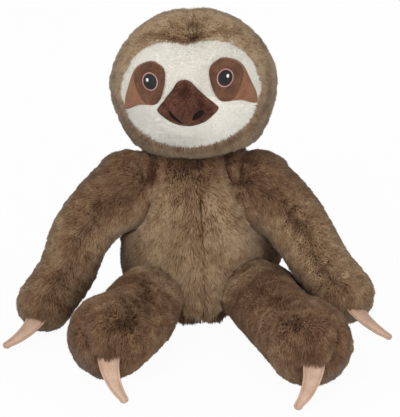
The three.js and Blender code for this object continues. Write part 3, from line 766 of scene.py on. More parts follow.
def dented(points, balls, grown, middle):
    """Points drawn in along the line to their middle, to where that line first meets a ball:
    the nearer root of the quadratic for the distance along the line."""
    step = points - middle
    length = np.linalg.norm(step, axis=1)
    step = step / np.maximum(length, 1e-6)[:, None]
    for centre, size in zip(*balls):
        offset = middle - centre
        half = (offset * step).sum(1)
        rest = half ** 2 - (offset ** 2).sum(1) + (size + grown) ** 2
        entry = -half - np.sqrt(np.maximum(rest, 0))
        length = np.where((rest > 0) & (entry > 0) & (entry < length), entry, length)
    return middle + step * length[:, None]


# %% [markdown]
# ## The stuffed bodies under the pile
# Each body is a closed, well-filled form that lies one pile length inside the outer form.
# It has the colour of the foot of the pile, and almost all of it is hidden by the tufts.
# Seams and folds are drawn in first, each with its own depth and width. Cloth that is blown
# up in a simulation puckers like this too, but would not keep clear of the turning limbs.


# %% Seams
BELLY_SEAM, SLEEVE_SEAM, LAP_FOLD = (0.9, 2), (3.4, 2.4), (2.5, 2.2)
CROWN_SEAM, SOLE_SEAM = (2.6, 3), (3, 3.5)


def grooved(outer, distance, seam, share=1.0):
    """A form drawn in along a seam: less by the seam's depth, or this share of it, times a bell
    of the distance to the seam over the seam's width."""
    depth, width = seam
    return outer - (depth * share * bell(distance, width))[..., None] * grid_normals(outer)


SLEEVE_HEIGHTS, SLEEVE_SPREAD = (83, 100, 125, 150), {-1: (66, 54, 43, 36), 1: (66, 55, 33, 25)}
SLEEVE_START = 75
LAP_SLOPE, LAP_COSINE, LAP_START = 0.85, 0.76, 2


def past_raglan(points):
    """How far a place on the torso lies outside the seam from the neck to under the arm."""
    left, right = (np.interp(points[..., 2], SLEEVE_HEIGHTS, SLEEVE_SPREAD[side]) for side in SIDES)
    across = own_x(points)
    return np.abs(across) - np.where(across < 0, left, right)


def past_lap(points):
    """How far a place on the torso lies outside the V that the thighs leave of the belly, and
    how much of the fold along that V there is: none on the back or above the thighs."""
    outside = LAP_COSINE * (np.abs(own_x(points)) - LAP_START - LAP_SLOPE * points[..., 2])
    return outside, fade(points[..., 1], 0, -20) * fade(points[..., 2], 32, 24)


TORSO = torso_grid()
TORSO = grooved(TORSO, own_x(TORSO), BELLY_SEAM)
TORSO = grooved(TORSO, past_raglan(TORSO), SLEEVE_SEAM, fade(TORSO[..., 2], SLEEVE_START, SLEEVE_START + 10))
lap_distance, lap_share = past_lap(TORSO)
TORSO = grooved(TORSO, lap_distance, LAP_FOLD, lap_share)

HEAD = from_head(head_grid())
across, ahead, up = np.moveaxis(to_head(HEAD), -1, 0)
HEAD = grooved(HEAD, across, CROWN_SEAM, fade(up, 10, 25) * fade(ahead, -20, -6))

SOLE_ROUTE = {-1: [(-0.58, -0.4, 0.71), (-0.517, -0.8, 0.306), (-0.247, -0.96, -0.138)],
              1: [(0.66, -0.38, 0.65), (0.56, -0.8, 0.2), (0.3, -0.94, -0.16)]}


def leg_form(side):
    """A leg with a fuller thigh, flat where it lies on the floor, and drawn in along the seam
    round its sole, which is a smooth line through three places on the foot's ball."""
    grid = limb_grid(LEG_CENTRES[side], LEG_RADII, fuller=(side, 10 + 2 * side, 0.3 - 0.05 * side))
    grid[..., 2] = np.maximum(grid[..., 2], LEG_FLOOR)
    seam = path_through(LEG_CENTRES[side][-1] + FOOT_RADIUS * unit(SOLE_ROUTE[side]), np.linspace(0, 1, 24))
    distance = np.linalg.norm(grid[:, :, None] - seam, axis=-1).min(-1)
    return grooved(grid, distance, SOLE_SEAM)


ARMS = both(lambda side: limb_grid(ARM_CENTRES[side], ARM_RADII))
LEGS = both(leg_form)
print("torso and head, mm:", *(np.ptp(grid.reshape(-1, 3), axis=0).round(1) for grid in (TORSO, HEAD)))


# %% Stuffed bodies
def torso_shape(points):
    """The torso hollowed for the arms and the legs, towards its own upright middle."""
    middle = points * [0, 0, 1]
    for side in SIDES:
        points = dented(points, ARM_ROOM[side], 0.5, middle)
        points = dented(points, LEG_ROOM[side], 0.5, middle)
    return points


def stuffed(body, outer, replaced, shape=lambda points: points):
    """A padded piece one pile length inside an outer form, then hollowed for its neighbours."""
    inner = shape((outer - PILE * grid_normals(outer)).reshape(-1, 3)).reshape(outer.shape)
    inner[..., 2] = np.maximum(inner[..., 2], BODY_FLOOR)
    made = solid(body + "_body", inner, BROWN_BACKING, body)
    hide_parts(*replaced)
    return inner


TORSO_NODES = ["torso_left_cover", "torso_right_cover", "seat_panel", "torso_stuffing"]
HEAD_NODES = ["head_left_cover", "head_right_cover", "head_stuffing"]
INNER = {"torso": stuffed("torso", TORSO, TORSO_NODES, torso_shape),
         "head": stuffed("head", HEAD, HEAD_NODES, partial(pushed_out, balls=NECK_BALL, grown=1.0))}
for side, word in SIDES.items():
    for limb, forms in ((f"{word}_arm", ARMS), (f"{word}_leg", LEGS)):
        INNER[limb] = stuffed(limb, forms[side], [limb + "_cover", limb + "_stuffing"])
print("stuffed bodies:", len(INNER))

# %% [markdown]
# ## Pile
# Plush pile is thousands of small tufts that lean the way the cloth was brushed. Each tuft
# here is a thin thorn of five faces, with a knee on its outer side. Their roots are
# scattered evenly over a body by area, and slow noise bends neighbours together, which
# gives the mottled look of brushed plush. A particle system could do the same, but tufts
# that are real mesh are part of the model's own geometry.


# %% Scattering
def scatter(inner, outer, density, last_pole=True):
    """Roots spread over a grid by area: each triangle gets points in proportion to its area,
    at even steps of the running total. Gives the roots, and the outer surface's point and
    normal above each."""
    rows, around = inner.shape[:2]
    faces = closed_faces(rows, around)
    if not last_pole:
        faces = faces[:-around]
    layers = [closed_points(grid) for grid in (inner, outer, grid_normals(outer))]
    a, b, c = (layers[1][faces[:, k]] for k in range(3))
    running = np.cumsum(np.linalg.norm(np.cross(b - a, c - a), axis=1) / 2)
    count = int(running[-1] * density)
    ticks = (np.arange(count) + rng.random(count)) / count * running[-1]
    corner = faces[np.minimum(np.searchsorted(running, ticks), len(faces) - 1)]
    p, q = rng.random(count), rng.random(count)
    fold = p + q > 1
    p, q = np.where(fold, 1 - p, p)[:, None], np.where(fold, 1 - q, q)[:, None]
    first, second, third = corner.T
    return [layer[first] * (1 - p - q) + layer[second] * p + layer[third] * q for layer in layers]


TUFT_FACES = np.array([[0, 4, 1], [1, 3, 2], [1, 4, 3], [2, 3, 0], [0, 3, 4]])
TUFT_HEIGHTS = [0.0, 0.0, 0.0, 0.5, 0.86]
TUFT_PATTERN = np.array([[0.1, 0.15], [0.9, 0.15], [0.5, 0.05], [0.5, 0.55], [0.5, 0.95]])
CLUMP, SWAY = (5.5, 2.6), 19
STUBBLE, CUTS = 1.8, (0.75, 0.5, 0.28)
FOOT_DEPTH, KNEE_UP, KNEE_AHEAD, KNEE_OUT = 0.4, 0.62, 0.3, 0.5


def tufts(name, roots, normals, comb, length, body, material, width=0.62, lean=0.75,
          curl=1.6, ragged=0.13, blocked=None, tone=0.0, tone_step=0.1, seed=1):
    """Thorns of five faces. A tuft's tip is its root plus its length along the normal plus a
    step along the comb; slow noise is added to the step, so that neighbours bend together.
    blocked tells which tips are inside a neighbour: those tufts are cut shorter, to a stubble."""
    count = len(roots)
    normals = unit(normals)
    comb = unit(comb - dot(comb, normals) * normals)
    side = np.cross(normals, comb)
    coarse, fine = CLUMP
    wave = [noise(roots, coarse, seed + k) + 0.6 * noise(roots, fine, seed + 9 + k) for k in range(2)]
    sway = [noise(roots, SWAY, seed + 20 + k) for k in range(2)]
    ahead = lean * length * (0.85 + 0.28 * sway[0]) + curl * wave[0]
    aside = 0.35 * lean * length * sway[1] + curl * wave[1]
    tall = length * (0.92 + ragged * noise(roots, 3.5, seed + 40) + 0.1 * rng.random(count))
    step = comb * ahead[:, None] + side * aside[:, None]
    scale = np.ones(count)
    if blocked is not None:
        for cut in (*CUTS, STUBBLE / tall):
            tips = roots + scale[:, None] * (normals * tall[:, None] + step)
            scale = np.where(blocked(tips), np.minimum(cut, scale), scale)
    rise = normals * (tall * scale)[:, None]
    step = step * scale[:, None]
    half = width * (0.8 + 0.4 * rng.random(count))[:, None]
    foot, tip = roots - FOOT_DEPTH * normals, roots + rise + step
    knee = roots + KNEE_UP * rise + KNEE_AHEAD * step - comb * half * KNEE_OUT
    points = np.stack([foot + side * half, foot - side * half, foot - comb * half, knee, tip], 1)
    faces = (TUFT_FACES + 5 * np.arange(count)[:, None, None]).reshape(-1, 3)
    # Each tuft's tone is random, plus a share of the clump wave that leans it forward, so tufts that lean
    # further are paler: partly the clumps' mottle, partly a painted sheen.
    tones = np.repeat(tone + tone_step * rng.standard_normal(count) + 0.12 * wave[0], 5)
    columns = math.ceil(math.sqrt(count))
    cell = np.stack(np.divmod(np.arange(count), columns)[::-1], 1)
    uv = ((cell[:, None] + TUFT_PATTERN) / columns).reshape(-1, 2)
    piece(name, points.reshape(-1, 3), faces, material, body, uv,
          {"height": np.tile(TUFT_HEIGHTS, count), "tone": tones})
    print(name, "tufts:", count)


# %% [markdown]
# ## Where the pile stops
# The hood leaves the face free, and each paw has a slit that its claw stands in. Both could be
# painted as a mask on the cloth. Here a line round the face and a box round each claw's root
# tell which roots get no tuft, so that the edges stay sharp however dense the pile is.

# %% Face outline
FACE_WIDTH, FACE_HEIGHT = 129, 100
FACE_SHARES = [(0, 0.465), (0.2, 0.49), (0.355, 0.395), (0.45, 0.24), (0.495, 0.03), (0.46, -0.1),
               (0.42, -0.225), (0.345, -0.32), (0.21, -0.4), (0, -0.435)]


def closed_path(points, count):
    """A smooth closed line through points, as many points as asked for."""
    points = np.asarray(points, float)
    wrapped = np.vstack([points[-1:], points, points[:2]])
    t = (1 + np.linspace(0, len(points), count, endpoint=False)) / (len(wrapped) - 1)
    return path_through(wrapped, t)


def mirrored(shares, width, height, count):
    """A closed line through the right half's points and their mirror images, in millimetres."""
    right = [(x * width, z * height) for x, z in shares]
    return closed_path(right + [(-x, z) for x, z in right if x > 0][::-1], count)


FACE_OUTLINE = mirrored(FACE_SHARES, FACE_WIDTH, FACE_HEIGHT, 160)


def outline_radius(outline, x, z):
    """How far out a point lies from an outline's middle, as a share of the outline's own
    distance in that direction: less than 1 inside, more than 1 outside."""
    middle = outline.mean(0)
    across, up = (outline - middle).T
    angle = np.arctan2(up, across)
    order = np.argsort(angle)
    here = np.arctan2(z - middle[1], x - middle[0])
    limit = np.interp(here, angle[order], np.hypot(across, up)[order], period=2 * math.pi)
    return np.hypot(x - middle[0], z - middle[1]) / limit


print("face, mm:", np.ptp(FACE_OUTLINE, axis=0).round(1))


# %% Claw frames
CLAWS = {
    "left_hand": (-1, (-0.3, -0.85, -0.3), (-0.5, -0.76, -0.42), (0, -0.25, 1), -1),
    "right_hand": (1, (0.36, -0.85, -0.25), (0.62, -0.66, -0.5), (0.35, -0.35, 1), 1),
    "left_foot": (-1, (0, -0.97, -0.22), (0.17, -0.72, -0.66), (0, -1, 0.4), 1),
    "right_foot": (1, (0.06, -0.97, -0.2), (-0.18, -0.72, -0.66), (0, -1, 0.4), -1),
}
CLAW_LENGTH, CLAW_WIDTH, CLAW_ROOT_DEPTH, CLAW_BOW, CLAW_TIP = 41, 19, 5, 7, 0.42
SLIT_START, SLIT_MARGIN, SLIT_HALF, SLIT_FLARE = -6, 0.6, 2.0, 0.25


def claw_frame(name):
    """A claw's root point, a little inside the paw's ball in one direction from its middle, and
    the claw's directions along it, across it and out of its flat."""
    side, out, along, face, bend = CLAWS[name]
    centres, radius = (ARM_CENTRES, HAND_RADIUS) if "hand" in name else (LEG_CENTRES, FOOT_RADIUS)
    root = centres[side][-1] + unit(out) * (radius - CLAW_ROOT_DEPTH)
    along = unit(along)
    face = unit(face - np.dot(face, along) * along)
    across = np.cross(face, along) * bend
    return root, np.stack([along, across, np.cross(along, across)])


def off_claw(name, roots, tops):
    """Roots that are not in the slit that the claw's root stands in."""
    root, axes = claw_frame(name)
    ahead, beside, off = ((roots - root) @ axis for axis in axes)
    in_width = np.abs(beside) < CLAW_WIDTH / 2 + SLIT_MARGIN
    return ~((ahead > SLIT_START) & in_width & (np.abs(off) < SLIT_HALF + SLIT_FLARE * np.maximum(ahead, 0)))


# %% [markdown]
# ## Brown pile
# Brushed plush has a nap. On the toy it runs down the torso, away from the face on the hood and
# along each limb to the paw. So each body gets a comb, which is a direction at every root, and a
# tone, which is a number at every root: the pile's own paler and darker parts, and also painted
# light, such as a painted sheen where the nap lies smooth and painted shade under the head, under
# the arms and along the seams.
# Tufts that would reach into a neighbour are cut short, as pressed pile lies flat.

# %% Brown pile
DENSITY = 1.05
DOWN = np.array([0, 0, -1.0])


def brown_pile(name, body, outer, comb, keep, blocked, tone, seed, density=DENSITY, longest=8.6,
               bands=("",)):
    """Tufts over one stuffed body, where keep allows a root. tone is a function of the roots that
    makes them paler or darker. No tuft is longer than the longest. The roots come row by row,
    so a large pile is shared out between pieces that are bands of its rows."""
    roots, tops, normals = scatter(INNER[body], outer, density)
    kept = keep(roots, tops)
    roots, tops, normals = roots[kept], tops[kept], normals[kept]
    tall = np.clip(np.linalg.norm(tops - roots, axis=1), 1.0, longest)
    rise, along, shade = unit(tops - roots), comb(tops, normals), tone(roots)
    for band, rows in zip(bands, np.array_split(np.arange(len(roots)), len(bands))):
        tufts(name + band, roots[rows], rise[rows], along[rows], tall[rows], body, BROWN_PILE,
              blocked=blocked, tone=shade[rows], seed=seed)


# %% Pile of the torso
# Tone by height, mostly painted light: darker at the bottom, a painted sheen on the belly and a painted
# shadow under the chin.
TORSO_PAINTED_LIGHT = [0, 8, 30, 85, 115, 135, 150], [-0.2, 0.05, 0.14, 0.22, 0.12, -0.02, -0.32]
# Painted shadow of the arms on the flanks, dark lap corners that are partly painted shade, darker shoulders,
# and painted shade along the seams.
FLANK_PAINTED_SHADOW, LAP_TONE_AND_PAINTED_SHADE, SLEEVE_SHADE, SEAM_PAINTED_SHADE = 0.55, 0.5, 0.14, 0.5
ARM_PRESS, LEG_PRESS = 4.0, 2.5


def torso_blocked(tips):
    """Tips that would reach well into a limb at rest, or through the floor."""
    result = tips[:, 2] < TIP_FLOOR
    for side in SIDES:
        for balls, press in ((ARM_BALLS, ARM_PRESS), (LEG_BALLS, LEG_PRESS)):
            result |= depth_in(tips, balls[side], -press) > 0
    return result


def torso_half(side, roots, tops):
    """Which roots belong to this half of the torso, left of or right of the belly seam."""
    return own_x(tops) * side > 0


def torso_tone(roots):
    """Darker at the very bottom; the belly paler, a painted sheen where its nap lies smooth; the chest
    under the chin darker, a painted shadow of the head. The flanks under the arms get a painted
    shadow of the arms, and a painted shade runs along the sleeve seams and the belly seam. The
    shoulders outside the sleeve seams are darker, and the corners of the lap are as dark as the
    thighs, partly with painted shade where the thighs meet the belly."""
    across = np.abs(own_x(roots))
    flank = FLANK_PAINTED_SHADOW * fade(across, 40, 60) ** 1.5 * fade(roots[:, 1], 50, 5)
    past, fold = past_lap(roots)
    lap = LAP_TONE_AND_PAINTED_SHADE * np.clip(1 + past / 3, 0, 1) * fold
    outside = past_raglan(roots)
    sleeve = SLEEVE_SHADE * fade(outside, 0, 5) + SEAM_PAINTED_SHADE * bell(outside, 1.6)
    sleeve = sleeve * (roots[:, 2] > SLEEVE_START)
    # The last term is a painted shade along the belly seam.
    return np.interp(roots[:, 2], *TORSO_PAINTED_LIGHT) - np.maximum(flank, sleeve) - lap - 0.1 * bell(across, 1.6)


def torso_comb(tops, normals):
    """The nap of the torso runs down, and a little away from the seam down its middle."""
    across = own_x(tops)
    away = turned([1.0, 0, 0], TORSO_TURN) * (np.sign(across) * bell(across, 22))[:, None]
    return DOWN + 0.15 * away


for side, word in SIDES.items():
    brown_pile(f"torso_{word}_pile", "torso", TORSO, torso_comb, partial(torso_half, side), torso_blocked,
               torso_tone, longest=13.0, bands=("_low", "_high"), seed=3)


# %% Pile of the head
# The crown's paler tone is painted light from above, and the darker hood along the face is painted shade.
HOOD_TONE, BROW_SHADE, CROWN_PAINTED_LIGHT, FACE_EDGE_PAINTED_SHADE, HOOD_DRIFT = 0.2, 0.18, 0.14, 0.3, 0.1


def head_comb(tops, normals):
    """The nap runs down: away from the face below the brow, and forward over the crown."""
    _, ahead, up = to_head(tops).T[..., None]
    away = unit(tops - from_head(np.array([[0, -60.0, -5]])))
    below = np.where(ahead < 0, fade(up, 32, -8), 1)
    return away * 0.8 * below + DOWN * 0.8 - np.array([0, 0.35, 0]) * fade(up, 20, 50)


def head_half(side, roots, tops):
    """Which roots belong to this half of the hood, outside the face and the neck hollow. The
    hood's edge stands a little back over the brow."""
    x, y, z = to_head(tops).T
    edge = 1.0 + 0.06 * (bell(x, 45) * (z > 20))
    in_face = (y < 0) & (outline_radius(FACE_OUTLINE, x, z) < edge)
    return (x * side > 0) & ~in_face & (np.linalg.norm(tops - NECK, axis=1) > NECK_RADIUS + 1)


def head_tone(roots):
    """The hood is paler than the limbs and darker over the brow, with a painted light on the crown
    and a painted shade along the edge of the face."""
    x, y, z = to_head(roots).T
    front = fade(y, 0, -30)
    edge = bell(outline_radius(FACE_OUTLINE, x, z) - 1.01, 0.035) * front
    brow = bell(x + 16, 25, z - 47, 11) * front
    crown = bell(x - 26, 22, z - 60, 12)
    drift = noise(roots, 13, 77)
    return HOOD_TONE - BROW_SHADE * brow + CROWN_PAINTED_LIGHT * crown - FACE_EDGE_PAINTED_SHADE * edge + HOOD_DRIFT * drift


def head_blocked(tips):
    """Tips that would reach into the neck."""
    return depth_in(tips, NECK_BALL, 0.6) > 0


for side, word in SIDES.items():
    brown_pile(f"head_{word}_pile", "head", HEAD, head_comb, partial(head_half, side), head_blocked,
               head_tone, seed=5)


# %% Pile of the limbs
ARM_TONES = [20, 60, 90, 125, 150], [-0.17, -0.06, 0.0, -0.24, -0.34]
THIGH_PLANE = (0.723, 0.358, 0.934)
PALE_START = {-1: -14, 1: -20}
# The paler top of the thigh is the belly's painted sheen carried onto the leg.
LEG_TONE, HIP_SHADE, THIGH_PAINTED_SHEEN = -0.25, 0.15, 0.37
TORSO_PRESS, OUT_OF_ARM, HAND_ROOM_MORE = 3, 1.5, 0.6


def limb_comb(centres, tops, normals):
    """The nap of a limb runs along it, towards the paw, and a little down."""
    path = path_through(centres, np.linspace(0, 1, 60))
    nearest = ((tops[:, None] - path[None, ::4]) ** 2).sum(-1).argmin(1) * 4
    along = unit(np.gradient(path, axis=0))[nearest]
    facing = np.maximum(dot(along, normals), 0) ** 2
    return along * (1 - facing) + (0.35 + facing) * DOWN


def arm_blocked(side, tips):
    """Arm tips below the floor, or well inside the torso and out of the arm's own balls."""
    outside = depth_in(tips, ARM_BALLS[side]) < -OUT_OF_ARM
    return (tips[:, 2] < TIP_FLOOR) | (in_torso(tips, -TORSO_PRESS) & outside)


def leg_blocked(side, tips):
    """Leg tips below the floor, or, on the right, in the hollow that the hand presses."""
    low = tips[:, 2] < TIP_FLOOR
    return low | (depth_in(tips, HAND_ROOM, HAND_ROOM_MORE) > 0) if side > 0 else low


def arm_tone(side, roots):
    """The arm is darkest at the shoulder and palest half way down."""
    return np.interp(roots[:, 2], *ARM_TONES)


def leg_tone(side, roots):
    """The top of the thigh is as pale as the belly, a painted sheen carried over from the belly: above
    a plane that falls from the hip's outer side towards the middle of the lap. The rest is darker,
    and darker still near the hip."""
    across, ahead, up = THIGH_PLANE
    height = across * -side * roots[:, 0] + ahead * roots[:, 1] + up * roots[:, 2]
    near_hip = fade(np.linalg.norm(roots - HIP[side], axis=1), 75, 55)
    pale = fade(height, PALE_START[side], PALE_START[side] + 9) * near_hip
    return LEG_TONE - HIP_SHADE * near_hip + THIGH_PAINTED_SHEEN * pale


LIMBS = [("arm", "hand", ARMS, ARM_CENTRES, arm_blocked, arm_tone, DENSITY, 7),
         ("leg", "foot", LEGS, LEG_CENTRES, leg_blocked, leg_tone, DENSITY * 0.95, 9)]
for side, word in SIDES.items():
    for limb, paw, forms, centres, blocked, tone, density, seed in LIMBS:
        brown_pile(f"{word}_{limb}_pile", f"{word}_{limb}", forms[side], partial(limb_comb, centres[side]),
                   partial(off_claw, f"{word}_{paw}"), partial(blocked, side), partial(tone, side), seed,
                   density, bands=("_upper", "_lower"))

# %% [markdown]
# ## The white face
# The face is a separate cloth with a much shorter pile, set into the hood, and the muzzle
# and chin have a longer white pile. The cloth is a thin closed sheet on the head's own form.
# It could be wrapped onto the head with a Shrinkwrap modifier, but the head's front is a
# formula, so the panels are worked out on it, with no gap at any place.


# %% Panels on the head
def cushion(outline, rings, front, back, first=0.06):
    """A closed cushion over an outline on the head's front: rings from the middle to the
    outline on the upper side, and back on the lower side. front and back give how far each
    side lies behind the head's outer surface, at a place and a share of the way out."""
    middle = outline.mean(0)
    share = np.sin(np.linspace(first, 1, rings) * math.pi / 2)[:, None]
    x, z = np.moveaxis(middle + share[..., None] * (outline - middle), -1, 0)
    upper, lower = (np.stack([x, face_front(x, z) + side(x, z, share), z], -1) for side in (front, back))
    return np.concatenate([upper, lower[::-1]])


def panel(name, outline, rings, top, bottom, material, edge=0.0, bulge=0.0, folds=None):
    """A closed piece over an outline on the head. top and bottom are its heights above the
    head's outer surface; near the outline the upper side comes down by edge, it rises by bulge
    in the middle, and folds gives the height of folds in it at a place."""
    def front(x, z, share):
        crown = bulge * (1 - share ** 2)
        if folds:
            crown = crown + folds(x, z) * (1 - share ** 8)
        return -top + share ** 6 * edge - crown
    grid = from_head(cushion(outline, rings, front, lambda x, z, share: -bottom))
    return solid(name, grid, material, "head")


FACE_PILE, CHIN_PILE = 2.4, 4.6
FACE_SINK, CHIN_SINK, FACE_BACK = 1.8, 0.6, 11

face_cloth = panel("face_cloth", FACE_OUTLINE, 40, -FACE_SINK - FACE_PILE, -FACE_BACK, WHITE_BACKING,
                   edge=1.5)
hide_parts("face_panel", "chin_panel")

# %% Outlines of the patches and the nose
PATCH_WIDTH, PATCH_HEIGHT, PATCH_SPREAD, PATCH_LIFT = 41, 45, 40, 11
PATCH_SHARES = [(-0.2, 0.5), (0.05, 0.42), (0.22, 0.27), (0.36, -0.03), (0.455, -0.3), (0.44, -0.48),
                (0.2, -0.36), (0.08, -0.315), (-0.12, -0.3), (-0.3, -0.25), (-0.42, -0.07), (-0.49, 0.15),
                (-0.5, 0.34), (-0.39, 0.45)]
LOBE_SHARES = [(-0.2, 0.5), (0.04, 0.42), (0.18, 0.3), (0.215, 0.18), (0.17, 0.02), (0.08, -0.15),
               (-0.03, -0.27), (-0.16, -0.29), (-0.3, -0.24), (-0.42, -0.07), (-0.49, 0.15), (-0.5, 0.34),
               (-0.39, 0.45)]
NOSE_WIDTH, NOSE_HEIGHT, NOSE_LIFT, NOSE_LEAN = 52, 38, 0.4, 0.075
NOSE_SHARES = [(0, 0.5), (0.1, 0.46), (0.2, 0.31), (0.35, 0.09), (0.46, -0.07), (0.5, -0.19),
               (0.33, -0.38), (0.18, -0.47), (0, -0.5)]


def beside_nose(side, shares, wide=1.0, high=1.0):
    """An outline beside the nose, in the head's X and Z, from shares of the eye patch's size."""
    return closed_path([(side * (PATCH_SPREAD + wide * x * PATCH_WIDTH), PATCH_LIFT + high * z * PATCH_HEIGHT)
                        for x, z in shares], 120)


PATCH = both(lambda side: beside_nose(side, PATCH_SHARES))
LOBE = both(lambda side: beside_nose(side, LOBE_SHARES, 0.98, 0.985))
NOSE_OUTLINE = mirrored(NOSE_SHARES, NOSE_WIDTH, NOSE_HEIGHT, 120)
NOSE_OUTLINE[:, 0] -= NOSE_LEAN * (NOSE_OUTLINE[:, 1] + NOSE_HEIGHT / 2)
NOSE_OUTLINE[:, 1] += NOSE_LIFT
print("patch and nose, mm:", *(np.ptp(outline, axis=0).round(1) for outline in (PATCH[1], NOSE_OUTLINE)))

# %% White pile
CHIN_SEAM = [(0.12, 0.04), (0.22, 0.02), (0.33, -0.05), (0.45, -0.11), (0.6, -0.13)]
WHITE_DENSITY = 3.0
PARTING = (0, -70.0, -3)
FACE_RIM, CHIN_RIM, PATCH_RIM, NOSE_RIM = 0.965, 0.95, 0.93, 0.9


def chin_line(x):
    """Height of the seam between face and chin at a distance from the middle of the face."""
    across, up = np.transpose(CHIN_SEAM)
    return np.interp(np.abs(x), across * FACE_WIDTH, up * FACE_HEIGHT)


def white_pile(name, points, pile, surface, curl, width, tone, seed):
    """Short tufts on the face cloth, from points in the head's X and Z. The normal is worked out
    from the slope of the face there, and the nap runs away from the nose and a little down."""
    x, z = points.T
    own = np.stack([x, face_front(x, z, surface + pile), z], -1)
    e = 0.5
    slope_x = (face_front(x + e, z, surface) - face_front(x - e, z, surface)) / (2 * e)
    slope_z = (face_front(x, z + e, surface) - face_front(x, z - e, surface)) / (2 * e)
    normal = unit(np.stack([slope_x, -np.ones(len(x)), slope_z], -1))
    comb = unit(own - PARTING) + [0, 0, -0.3]
    roots = from_head(own)
    tufts(name, roots, from_head(own + normal) - roots, from_head(own + comb) - roots,
          np.full(len(roots), pile), "head", WHITE_PILE, width=width, lean=0.6,
          curl=curl, ragged=0.05, tone=tone, tone_step=0.06, seed=seed)


low, high = FACE_OUTLINE.min(0), FACE_OUTLINE.max(0)
spots = low + rng.random((int(np.prod(high - low) * WHITE_DENSITY), 2)) * (high - low)
out = outline_radius(FACE_OUTLINE, *spots.T)
free = (out < FACE_RIM) & (outline_radius(NOSE_OUTLINE, *spots.T) >= NOSE_RIM)
for outline in PATCH.values():
    free &= outline_radius(outline, *spots.T) >= PATCH_RIM
is_face = spots[:, 1] > chin_line(spots[:, 0])
white_pile("face_pile", spots[free & is_face], FACE_PILE, FACE_SINK,
           curl=0.12, width=0.36, tone=0.0, seed=31)
# The chin's pile gets a paler tone than the face's: painted light on the chin, which faces down, away from
# the lamps.
white_pile("chin_pile", spots[free & ~is_face & (out < CHIN_RIM)], CHIN_PILE, CHIN_SINK,
           curl=0.7, width=0.5, tone=0.5, seed=37)

# %% [markdown]
# ## Eye patches and eyes
# The patches are brown suede sewn flat on the face, each a wing with a rounder lobe over it,
# and the suede puckers round the eye, where its stitches pull. The lobe is the same suede, darker:
# painted shade round the eye. The eyes are embroidered: a dark pupil, a thin pale ring, a dark rim
# that is partly painted shadow round the raised ring, and a small highlight. All of this could be
# one painted disc, but thin layers, each a little higher than the last, have the relief of thread.

# %% Patches and eyes
EYE_SPREAD, EYE_LIFT = 33, 18.5
WING_TOP, WING_BOTTOM, WING_EDGE = 0.3, -4.5, 1.6
LOBE_TOP, LOBE_BOTTOM, LOBE_EDGE = 1.1, -2.0, 1.4
CREASE_DEPTH, CREASE_PLACE, CREASE_REACH = 1.1, 1.03, 0.06
PUCKER_HEIGHT, PUCKER_STEP, PUCKER_PLACE, PUCKER_REACH = 0.75, 3.3, 11, 4
EYE_BOTTOM, EYE_EDGE, EYE_BULGE = -1.0, 0.25, 0.2
SHINE_ASIDE, SHINE_UP, SHINE_WIDTH, SHINE_HEIGHT = 2.4, 1.5, 2.3, 2.8
SHINE_TOP, SHINE_BOTTOM, SHINE_EDGE = 2.6, 0.8, 0.2
EYE_LAYERS = [
    # The rim outside the pale ring is partly dark thread and partly painted shadow round the raised ring.
    ("eye_rim", None, 15.6, 1.45, RIM_THREAD_AND_SHADOW, "pupil_thread"),
    ("eye_iris", "eye_ring", 14.4, 1.65, RING_THREAD, "eye_ring_thread"),
    ("iris_shade", None, 12.8, 1.8, RIM_THREAD_AND_SHADOW, "pupil_thread"),
    ("pupil", "eye_pupil", 11.9, 1.95, PUPIL_THREAD, "pupil_thread"),
]


def oval(x, z, width, height, count=72):
    """The outline of an oval in the head's X and Z."""
    turn = ring_angles(count)
    return np.stack([x + width / 2 * np.cos(turn), z + height / 2 * np.sin(turn)], 1)


def puckers(side, x, z):
    """Folds round the eye, where the stitching draws the suede in: a wave of the distance to the
    eye, strongest a little outside the stitches and weaker in some directions."""
    across, up = side * x - EYE_SPREAD, z - EYE_LIFT
    away, turn = np.hypot(across, up), np.arctan2(up, across)
    wave = np.sin(2 * math.pi * away / PUCKER_STEP + 0.8 * np.sin(2 * turn))
    return (PUCKER_HEIGHT * wave * bell(away - PUCKER_PLACE, PUCKER_REACH)
            * (0.65 + 0.35 * np.cos(3 * turn + 1)))


def crease(side, x, z):
    """The wing drawn in along the edge of the lobe that is sewn on it."""
    return -CREASE_DEPTH * bell(outline_radius(LOBE[side], x, z) - CREASE_PLACE, CREASE_REACH)


for side, word in SIDES.items():
    wing = panel(f"{word}_patch_wing", PATCH[side], 40, WING_TOP, WING_BOTTOM, BROWN_SUEDE,
                 WING_EDGE, folds=partial(crease, side))
    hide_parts(f"{word}_eye_patch")
    # The lobe's darker suede is painted shade round the eye.
    panel(f"{word}_patch_lobe", LOBE[side], 40, LOBE_TOP, LOBE_BOTTOM, LOBE_PAINTED_SHADE_SUEDE,
          LOBE_EDGE, folds=partial(puckers, side))
    for label, replaced, width, top, thread, slot in EYE_LAYERS:
        disc = oval(side * EYE_SPREAD, EYE_LIFT, width, width + 0.3)
        layer = panel(f"{word}_{label}", disc, 14, top, EYE_BOTTOM, thread, EYE_EDGE, EYE_BULGE)
        if replaced:
            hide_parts(f"{word}_{replaced}")
    glint = oval(side * EYE_SPREAD + side * SHINE_ASIDE, EYE_LIFT + SHINE_UP, SHINE_WIDTH, SHINE_HEIGHT, 40)
    shine = panel(f"{word}_highlight", glint, 8, SHINE_TOP, SHINE_BOTTOM, SHINE_THREAD,
                  SHINE_EDGE, EYE_BULGE)
    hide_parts(f"{word}_eye_highlight")
print("pieces so far:", len(PIECES))

# %% [markdown]
# ## Nose
# The nose is a kite of velour over a little fibre, with two dark nostrils that aren't alike:
# the left one is a long slit, the right one rounder. Their near-black velour is partly painted
# shade inside the dents. A sculpted nose would look the same, but a dome less two dents keeps
# its outline, and the nostrils can be laid in the same dents.

